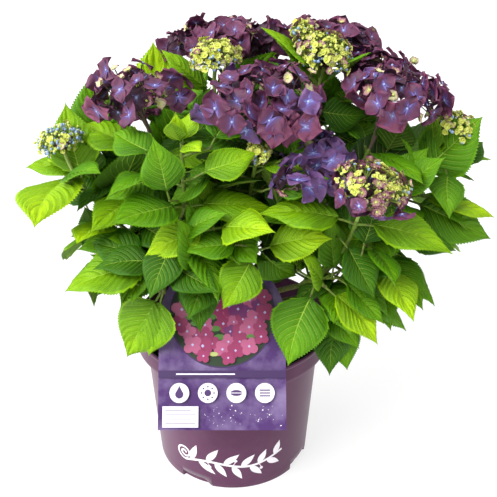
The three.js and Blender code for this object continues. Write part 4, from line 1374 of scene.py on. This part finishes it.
def print_dots(ink, half, signs, draw):
    """A scatter of dots over the card's lower ground, clear of the patch."""
    left, low, right, high = LABEL["patch"]
    for _ in range(LABEL["dots"]):
        x, y = lerp(-half + 3, half - 3, draw()), lerp(-LABEL["below"] + 3, signs - 13, draw())
        if not (left - 2 < x < right + 2 and low - 2 < y < high + 2):
            ink.disc(x, y, 0.3 + 0.5 * draw() ** 3, "white", 6)


def add_card(sheaf):
    outline = card_outline()
    count = len(outline)
    front, back = on_card(outline, 0), on_card(outline, -LABEL["thick"])
    sheaf.add(np.concatenate([front, back]),
              [(i, i + count, (i + 1) % count + count, (i + 1) % count) for i in range(count)])
    for lift, ink in ((0, "ground"), (-LABEL["thick"], "back")):
        add_patch(sheaf, outline, lambda points: on_card(points, lift), INK[ink])


def build_label(finishes):
    """The care label: a card leaning on the rim, held by a tongue, with a plain generic print."""
    sheaf = Sheaf()
    add_card(sheaf)
    add_tongue(sheaf)
    ink, draw = Ink(sheaf), seeded(77)
    half, signs = LABEL["width"] / 2, LABEL["signs_at"]
    low, high = LABEL["band"]
    print_picture(ink, draw)
    ink.box(-half + 0.2, low, half - 0.2, high, "shadow")
    ink.stroke(-half * 0.72, half * 0.2, (low + high) / 2, 1.4, "white")
    print_signs(ink, half, signs)
    print_patch(ink)
    print_dots(ink, half, signs, draw)
    sheaf.piece("label_card", finishes, "label", ["plant_label"], smooth=False)


def add_tongue(sheaf):
    """The strip behind the card that hooks over the wall into the mix."""
    top, thick = LABEL["tongue_above"], LABEL["tongue_thick"]
    slope = math.tan(LEAN)
    start = (CARD_BACK[1] + top * slope - LABEL["tongue_sunk"], POT["height"] + top)
    inside = -(POT["rim"] - POT["wall"]) + LABEL["tongue_inside"]
    drop = POT["height"] - LABEL["tongue_deep"]
    line = [start, (inside + thick, start[1]), (inside + thick, drop), (inside, drop),
            (inside, start[1] - thick), (start[0] - thick * slope, start[1] - thick)]
    sides = [[(LABEL["centre"] + side * LABEL["tongue_wide"] / 2, y, z) for y, z in line]
             for side in (-1, 1)]
    count = len(line)
    sheaf.add(sides, [(i, (i + 1) % count, (i + 1) % count + count, i + count) for i in range(count)],
              INK["back"])
    for ends in ((0, 1, 4, 5), (1, 2, 3, 4)):
        sheaf.add(sides, [ends, [end + count for end in ends[::-1]]], INK["back"])


# ---- Materials ----

# Each family's sepals: heart, throat, body and rim. The shaded family is painted shade, for florets deep in a
# head.
SEPAL_COLOURS = dict(
    wine=("6E5C98", "56305A", "5A2445", "6A3052"), plum=("6E68AE", "50386E", "542443", "682E50"),
    mauve=("9088C4", "6C4E88", "7C3C5C", "8A4868"), violet=("8088C8", "5E5298", "5E3C70", "6C4A7A"),
    shaded=("7070A8", "483050", "3C1830", "46223A"), cream=("CBD98A", "C6D07C", "D6D8A0", "BE9A90"),
    lime=("A8B828", "B4C02C", "C2C848", "CCD070"), blush=("CBD98A", "C6CE5C", "A87C7C", "6E3654"))
PALE_GREEN = shade("98B05C")
VEIN_GREEN = shade("C4D85A")
LEAF_SHINE = 0.2
PALE_DUST = shade("C9B6C4")
PALE_PURPLE = (0.42, 0.34, 0.54)
INK_COLOURS = dict(dark_leaf="22361E", leaf="54803A", rose="94325E", plum="74306A", white="E9E4EE",
                   back="B9B4BC", rule="8D8894", pink="B0587E", pale_leaf="A9B46A", eye="B9B2DC")


def leaf_finishes(name, colour):
    """A blade's finishes: upper face by the petiole, margin, lower face, veins, and the rest of the upper
    face in bands, each yellower than the last."""
    made = {}
    for zone in range(len(BLADE_ZONES)):
        share = zone / (len(BLADE_ZONES) - 1)
        tone = tinted(warmed(colour, 0.65 * share ** 1.7), lerp(0.7, 1.16, share))
        top = Finish(f"{name}_zone_{zone}", tone, 0.5, specular_ior_level=LEAF_SHINE)
        tint = top.mix(top.grain(22, 4), tinted(tone, 0.66), tinted(warmed(tone, 0.3), 1.32))
        net = top.band(top.cells(1.7), 0.0, 0.35)
        top.set("Base Color", top.mix(net, tinted(warmed(tone, 0.5), 1.3), tint))
        top.set("Roughness", top.grain(6) * 0.2 + 0.42)
        top.bump(net * 0.6 + top.grain(1.1, 2) * 0.4, 0.5, 0.7)
        made[zone] = top
    for part, tone, size in (("margin", tinted(warmed(colour, 1), 1.15), 9),
                             ("lower", blended(colour, PALE_GREEN, 0.16), 14),
                             ("veins", tinted(blended(warmed(colour, 0.3), VEIN_GREEN, 0.3), 1.3), 5)):
        plain = Finish(f"{name}_{part}", tone, 0.55, specular_ior_level=LEAF_SHINE)
        plain.set("Base Color", plain.mix(plain.grain(size), tinted(tone, 0.8), tinted(tone, 1.2)))
        made[part] = plain
    made["lower"].bump(made["lower"].cells(1.9), 0.5, 0.5)
    return [made[part].material for part in (0, "margin", "lower", "veins", 1, 2, 3, 4)]


def sepal_finishes(family):
    """Heart, throat, middle, body and rim of a family of sepals."""
    made = []
    heart, throat, body, rim = (shade(code) for code in SEPAL_COLOURS[family])
    zones = dict(heart=heart, throat=throat, middle=blended(throat, body, 0.7), body=body, rim=rim)
    for zone, colour in zones.items():
        petal = Finish(f"{family}_{zone}", colour, 0.6)
        streaks = petal.grain(3.5, 4)
        patches = petal.grain(26, 2)
        fine = petal.mix(streaks, tinted(colour, 0.7), tinted(colour, 1.3))
        petal.set("Base Color", petal.mix(petal.band(patches, 0.4, 0.75) * 0.4, fine, tinted(rim, 1.25)))
        petal.bump(petal.grain(1.3, 3), 0.5, 0.45)
        made.append(petal.material)
    return made


def plain_finish(name, colour, roughness, spread=0.12, size=6.0, relief=0.0, **fixed):
    """One colour with soft patches of lighter and darker."""
    colour = tuple(colour)
    made = Finish(name, colour, roughness, **fixed)
    made.set("Base Color", made.mix(made.grain(size), tinted(colour, 1 - spread), tinted(colour, 1 + spread)))
    if relief:
        made.bump(made.grain(size / 3, 4), relief)
    return made.material


def pot_finish(colour):
    """Moulded plastic with a dusty bloom and faint handling marks."""
    colour = tuple(colour)
    made = Finish("pot_plastic", colour, 0.45, specular_ior_level=0.07, sheen_weight=0.22,
                  sheen_roughness=0.5)
    dust = made.band(made.grain(34, 6), 0.35, 0.75)
    specks = made.band(made.grain(0.9, 2), 0.62, 0.75)
    tone = made.mix(dust, tinted(colour, 0.92), blended(tinted(colour, 1.05), PALE_DUST, 0.025))
    made.set("Base Color", made.mix(specks * 0.2, tone, blended(colour, PALE_DUST, 0.2)))
    made.set("Roughness", dust * 0.12 + 0.36)
    made.bump(made.grain(0.7, 2), 0.1, 0.35)
    return made.material


def stem_finish(name, code, brown):
    """Green bark mottled with purple-brown, and browner towards the ground."""
    colour, dark = shade(code), shade(brown)
    made = Finish(name, colour, 0.6)
    height = made.node("SeparateXYZ", {}, {0: made.place()}, output=2)
    low = made.band(height, 0.26, 0.17)
    fleck = made.band(made.grain(3.2, 5), 0.48, 0.62)
    made.set("Base Color", made.mix(made.band(fleck + low, 0, 1) * 0.8, colour, dark))
    made.bump(made.grain(1.6, 5), 0.7, 0.8)
    return made.material


def card_finish(colour):
    """Printed card: a purple ground with soft clouds of a lighter purple."""
    made = Finish("label_ground", tuple(colour), 0.34, specular_ior_level=0.3)
    clouds = made.band(made.grain(30, 5), 0.42, 0.75)
    made.set("Base Color", made.mix(clouds, tinted(colour, 0.9), blended(colour, PALE_PURPLE, 0.5)))
    made.bump(made.grain(12, 1), 0.12, 0.3)
    return made.material


# ---- Building the plant ----

def build_canes(finishes):
    sheaf = Sheaf()
    for number, limb in enumerate(LIMBS):
        shifts = np.array([math.sin(number), math.cos(number)]) * CANE["joint_shift"]
        add_limb(sheaf, cane_curve(limb), CANE["foot"], CANE["tip"], CANE["joints"] + shifts, number,
                 sides=CANE["sides"], fine=CANE["step"])
    around = polar(1, turns_of(CROWN["turns"]), 0)
    rings = []
    for level in np.linspace(0, 1, CROWN["rings"]):
        knobs = np.array([noise.fractal(Vector((*(2.2 * way[:2]), level * 2.4)), 0.8, 2, 4)
                          for way in around])
        radii = lerp(CROWN["base"], CROWN["top"], level) * (0.96 + 0.05 * knobs)
        rings.append(around * radii[:, None] + UP * (CROWN_FOOT + level * CROWN["height"]))
    rings = [rings[0] * NEARLY_SHUT, *rings, rings[-1] * NEARLY_SHUT]
    sheaf.add(rings, grid_faces(len(rings), len(around), closed=True))
    sheaf.piece("canes", finishes, "stem", ["crown", *nodes_named("cane_")])


LEAF_TONES = ("dark", "deep", "middle", "bright", "lime")
MOST_TRIANGLES = 180_000


def leaf_tone(leaf, tone):
    """Which of the colours a leaf takes: by its shoot's tone, with some chance."""
    chance = seeded(leaf.seed * 3 + 11)()
    return LEAF_TONES[min(len(LEAF_TONES) - 1, int(tone * 4.2 + 1.2 * chance))]


def build_foliage(settings):
    """The twigs, and the leaves dealt out by tone into pieces of one colour each."""
    growth = plant()
    twigs = Sheaf()
    for number, (curve, foot, tip, joints) in enumerate(growth.twigs):
        add_limb(twigs, curve, foot, tip, joints, SEEDS["bark"] + number)
    blades = {tone: [Sheaf()] for tone in LEAF_TONES}
    for leaf, tone in growth.leaves:
        add_petiole(twigs, leaf)
        blade = Blade(leaf, settings)
        sheaves = blades[leaf_tone(leaf, tone)]
        if sheaves[-1].triangles() > MOST_TRIANGLES:
            sheaves.append(Sheaf())
        add_blade(sheaves[-1], blade)
        add_veins(sheaves[-1], blade)
    masses = nodes_named("leaves_")
    twigs.piece("twigs", [stem_finish("green_twig", "62801C", "52422A")], "stem")
    for tone, sheaves in blades.items():
        finishes = leaf_finishes("leaf_" + tone, tuple(getattr(settings, tone)))
        for number, sheaf in enumerate(sheaves, 1):
            sheaf.piece(f"leaves_{tone}_{number}", finishes, "foliage", masses)


def build_blossom():
    """The heads' florets by colour family, their beads and buds, and the stems that carry them."""
    stalks = plant().stalks
    sheaves = {name: Sheaf() for name in (*SEPAL_COLOURS, "eyes", "stems")}
    for number, (name, head) in enumerate(HEADS.items()):
        add_head(sheaves, head, SEEDS["head"] + number, *stalks[name])
    for number, head in enumerate(FILLS):
        add_head(sheaves, head, SEEDS["fill"] + number, *stalks[head["of"]])
    opened = [f"head_{name}" for name, head in HEADS.items() if "florets" in head]
    budded = [f"head_{name}" for name, head in HEADS.items() if "buds" in head]
    for family in SEPAL_COLOURS:
        slot, covers = ("flower_bud", budded) if family in ("lime", "cream") else ("blossom", opened)
        sheaves[family].piece("florets_" + family, sepal_finishes(family), slot, covers)
    beads = [plain_finish("bead_pale", shade("A9B8E2"), 0.45, 0.1, 3),
             plain_finish("bead_lime", shade("CCD66A"), 0.5, 0.12, 3),
             plain_finish("bead_blue", shade("8CA6CA"), 0.45, 0.12, 3)]
    sheaves["eyes"].piece("beads", beads, "flower_bud", budded)
    stems = [stem_finish("flower_stem", "5E4C40", "4A2A3A"), plain_finish("bud_stem", shade("8FA64C"), 0.55)]
    sheaves["stems"].piece("flower_stems", stems, "stem")


# ---- The stage ----

STAGE = dict(key=3.35, focal=63.96, sensor=36, place=(0.019, -0.875, 0.756), tilt=28.8, floor=80.0,
             glow=0.72, sky=0.42)
# Each light: name, compass turn, height, share of the key light's strength, and breadth, in degrees.
LIGHTS = (("key", 222, 46, 1.0, 40), ("side", 186, 16, 0.72, 60), ("fill", 320, 35, 0.22, 60),
          ("rim", 80, 60, 0.25, 50))


def lamp(name, turn, height, energy, angle):
    """A sun that shines from a compass turn and a height in degrees."""
    data = bpy.data.lights.new(name, "SUN")
    data.energy = energy
    data.angle = math.radians(angle)
    made = bpy.data.objects.new(name, data)
    bpy.context.scene.collection.objects.link(made)
    turn, height = math.radians(turn), math.radians(height)
    place = Vector((math.cos(turn) * math.cos(height), math.sin(turn) * math.cos(height), math.sin(height)))
    made.rotation_euler = place.to_track_quat("Z", "Y").to_euler()
    made.location = place * 2
    made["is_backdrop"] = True


def build_stage(scene):
    settings = scene.hydrangea_stage
    mesh = bpy.data.meshes.new("floor")
    side = STAGE["floor"]
    mesh.from_pydata([(-side, -side, 0), (side, -side, 0), (side, side, 0), (-side, side, 0)], [],
                     [(0, 1, 2, 3)])
    floor = bpy.data.objects.new("floor", mesh)
    scene.collection.objects.link(floor)
    mesh.materials.append(Finish("floor", tuple(settings.floor), 0.9, emission_color=(1, 1, 1),
                                 emission_strength=STAGE["glow"]).material)
    floor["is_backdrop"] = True

    world = bpy.data.worlds.new("studio")
    world.use_nodes = True
    back = world.node_tree.nodes["Background"]
    back.inputs["Color"].default_value = (1, 1, 1, 1)
    back.inputs["Strength"].default_value = STAGE["sky"]
    scene.world = world
    scene.view_settings.view_transform = "Standard"

    for name, turn, height, share, angle in LIGHTS:
        lamp(name, turn, height, settings.key * share, angle)

    data = bpy.data.cameras.new("camera")
    data.lens = settings.focal
    data.sensor_width = STAGE["sensor"]
    camera = bpy.data.objects.new("camera", data)
    camera.location = STAGE["place"]
    camera.rotation_euler = (math.radians(90 - STAGE["tilt"]), 0, 0)
    scene.collection.objects.link(camera)
    scene.camera = camera


# ---- Settings ----

def colour_property(name, description, code):
    return bpy.props.FloatVectorProperty(name=name, description=description, subtype="COLOR", size=3,
                                         min=0, max=1, default=shade(code))


class HydrangeaPlant(bpy.types.PropertyGroup):
    leaf_width: bpy.props.FloatProperty(
        name="Leaf width", description="Half a blade's width as a share of its length",
        default=BLADE["wide"], min=0.1, max=0.5, subtype="FACTOR")
    leaf_fall: bpy.props.FloatProperty(
        name="Leaf point", description="How early a blade narrows towards its tip",
        default=BLADE["fall"], min=0.5, max=2)
    quilting: bpy.props.FloatProperty(
        name="Quilting", description="How far a blade swells between its veins, as a share of its length",
        default=BLADE["quilt"], min=0, max=0.05, subtype="FACTOR")
    # Dark leaves: the oldest ones, and inner ones darkened as painted shade.
    dark: colour_property("Dark leaves", "The oldest, inner leaves", "163602")
    deep: colour_property("Deep leaves", "Leaves low on their shoots", "275802")
    middle: colour_property("Middle leaves", "Most leaves", "3E7602")
    bright: colour_property("Bright leaves", "Leaves near the tips", "568C04")
    lime: colour_property("Lime leaves", "The youngest leaves", "6CA00E")


class HydrangeaPot(bpy.types.PropertyGroup):
    plastic: colour_property("Plastic", "The pot's plastic", "552849")
    ink: colour_property("Print", "The sprig printed on the pot", "EDE8EE")
    mix: colour_property("Potting mix", "The damp mix in the pot", "1E1712")
    card: colour_property("Label", "The label's ground", "4F326B")


class HydrangeaStage(bpy.types.PropertyGroup):
    floor: colour_property("Floor", "The floor under the pot", "9A9A9A")
    key: bpy.props.FloatProperty(
        name="Key light", description="Strength of the soft light on the left", default=STAGE["key"],
        min=0, max=20)
    focal: bpy.props.FloatProperty(
        name="Focal length", description="The camera's focal length", default=STAGE["focal"], min=20,
        max=200, subtype="DISTANCE_CAMERA", unit="CAMERA")


# ---- Operators ----

class HYDRANGEA_OT_pot(bpy.types.Operator):
    """Make the pot and the print on its wall"""
    bl_idname = "hydrangea.pot"
    bl_label = "Pot"

    def execute(self, context):
        settings = context.scene.hydrangea_pot
        build_pot([pot_finish(settings.plastic)])
        build_pot_print([plain_finish("pot_ink", settings.ink, 0.55, 0.05)])
        return {"FINISHED"}


class HYDRANGEA_OT_soil(bpy.types.Operator):
    """Make the potting mix"""
    bl_idname = "hydrangea.soil"
    bl_label = "Potting mix"

    def execute(self, context):
        mix = context.scene.hydrangea_pot.mix
        build_soil([plain_finish("mix", mix, 0.95, 0.5, 4, 1.2),
                    plain_finish("mix_fibre", tinted(shade("6B5238"), 0.8), 0.9, 0.3, 3, 0.6)])
        return {"FINISHED"}


class HYDRANGEA_OT_label(bpy.types.Operator):
    """Make the care label with its plain print"""
    bl_idname = "hydrangea.label"
    bl_label = "Label"

    def execute(self, context):
        card = context.scene.hydrangea_pot.card
        inks = dict(shadow=tinted(card, 0.6), tint=tinted(card, 0.8),
                    **{name: shade(code) for name, code in INK_COLOURS.items()})
        build_label([card_finish(card)] + [
            plain_finish(f"label_ink_{slot}", inks[name], 0.35, 0.06) for name, slot in INK.items() if slot])
        return {"FINISHED"}


class HYDRANGEA_OT_canes(bpy.types.Operator):
    """Make the crown and its canes with the bark's relief"""
    bl_idname = "hydrangea.canes"
    bl_label = "Canes"

    def execute(self, context):
        build_canes([stem_finish("bark", "7F8C3C", "5C3F36")])
        return {"FINISHED"}


class HYDRANGEA_OT_foliage(bpy.types.Operator):
    """Grow the twigs, leaf stalks and leaves"""
    bl_idname = "hydrangea.foliage"
    bl_label = "Foliage"

    def execute(self, context):
        build_foliage(context.scene.hydrangea_plant)
        return {"FINISHED"}


class HYDRANGEA_OT_blossom(bpy.types.Operator):
    """Make the flower heads and the clusters of buds"""
    bl_idname = "hydrangea.blossom"
    bl_label = "Blossom"

    def execute(self, context):
        build_blossom()
        return {"FINISHED"}


class HYDRANGEA_OT_stage(bpy.types.Operator):
    """Set out the floor, the lights and the camera"""
    bl_idname = "hydrangea.stage"
    bl_label = "Stage"

    def execute(self, context):
        build_stage(context.scene)
        return {"FINISHED"}


class HYDRANGEA_PT_panel(bpy.types.Panel):
    """Settings and operators of the hydrangea"""
    bl_idname = "HYDRANGEA_PT_panel"
    bl_label = "Hydrangea"
    bl_space_type = "VIEW_3D"
    bl_region_type = "UI"
    bl_category = "Hydrangea"

    def draw(self, context):
        for group, kind in GROUPS.items():
            box = self.layout.box()
            for name in kind.__annotations__:
                box.prop(getattr(context.scene, group), name)
        for operator in OPERATORS:
            self.layout.operator(operator.bl_idname)


GROUPS = dict(hydrangea_plant=HydrangeaPlant, hydrangea_pot=HydrangeaPot, hydrangea_stage=HydrangeaStage)
OPERATORS = [HYDRANGEA_OT_pot, HYDRANGEA_OT_soil, HYDRANGEA_OT_label, HYDRANGEA_OT_canes,
             HYDRANGEA_OT_foliage, HYDRANGEA_OT_blossom, HYDRANGEA_OT_stage]


def register():
    for kind in (*GROUPS.values(), *OPERATORS, HYDRANGEA_PT_panel):
        bpy.utils.register_class(kind)
    for name, group in GROUPS.items():
        setattr(bpy.types.Scene, name, bpy.props.PointerProperty(type=group))


def unregister():
    for name in GROUPS:
        delattr(bpy.types.Scene, name)
    for kind in reversed((*GROUPS.values(), *OPERATORS, HYDRANGEA_PT_panel)):
        bpy.utils.unregister_class(kind)


def main():
    register()
    for operator in OPERATORS:
        group, name = operator.bl_idname.split(".")
        getattr(getattr(bpy.ops, group), name)()
    boxes = {"cad": CAD_BOX, "final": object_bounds()}
    {name: [list(corner) for corner in box] for name, box in boxes.items()}


if __name__ == "__main__":
    main()
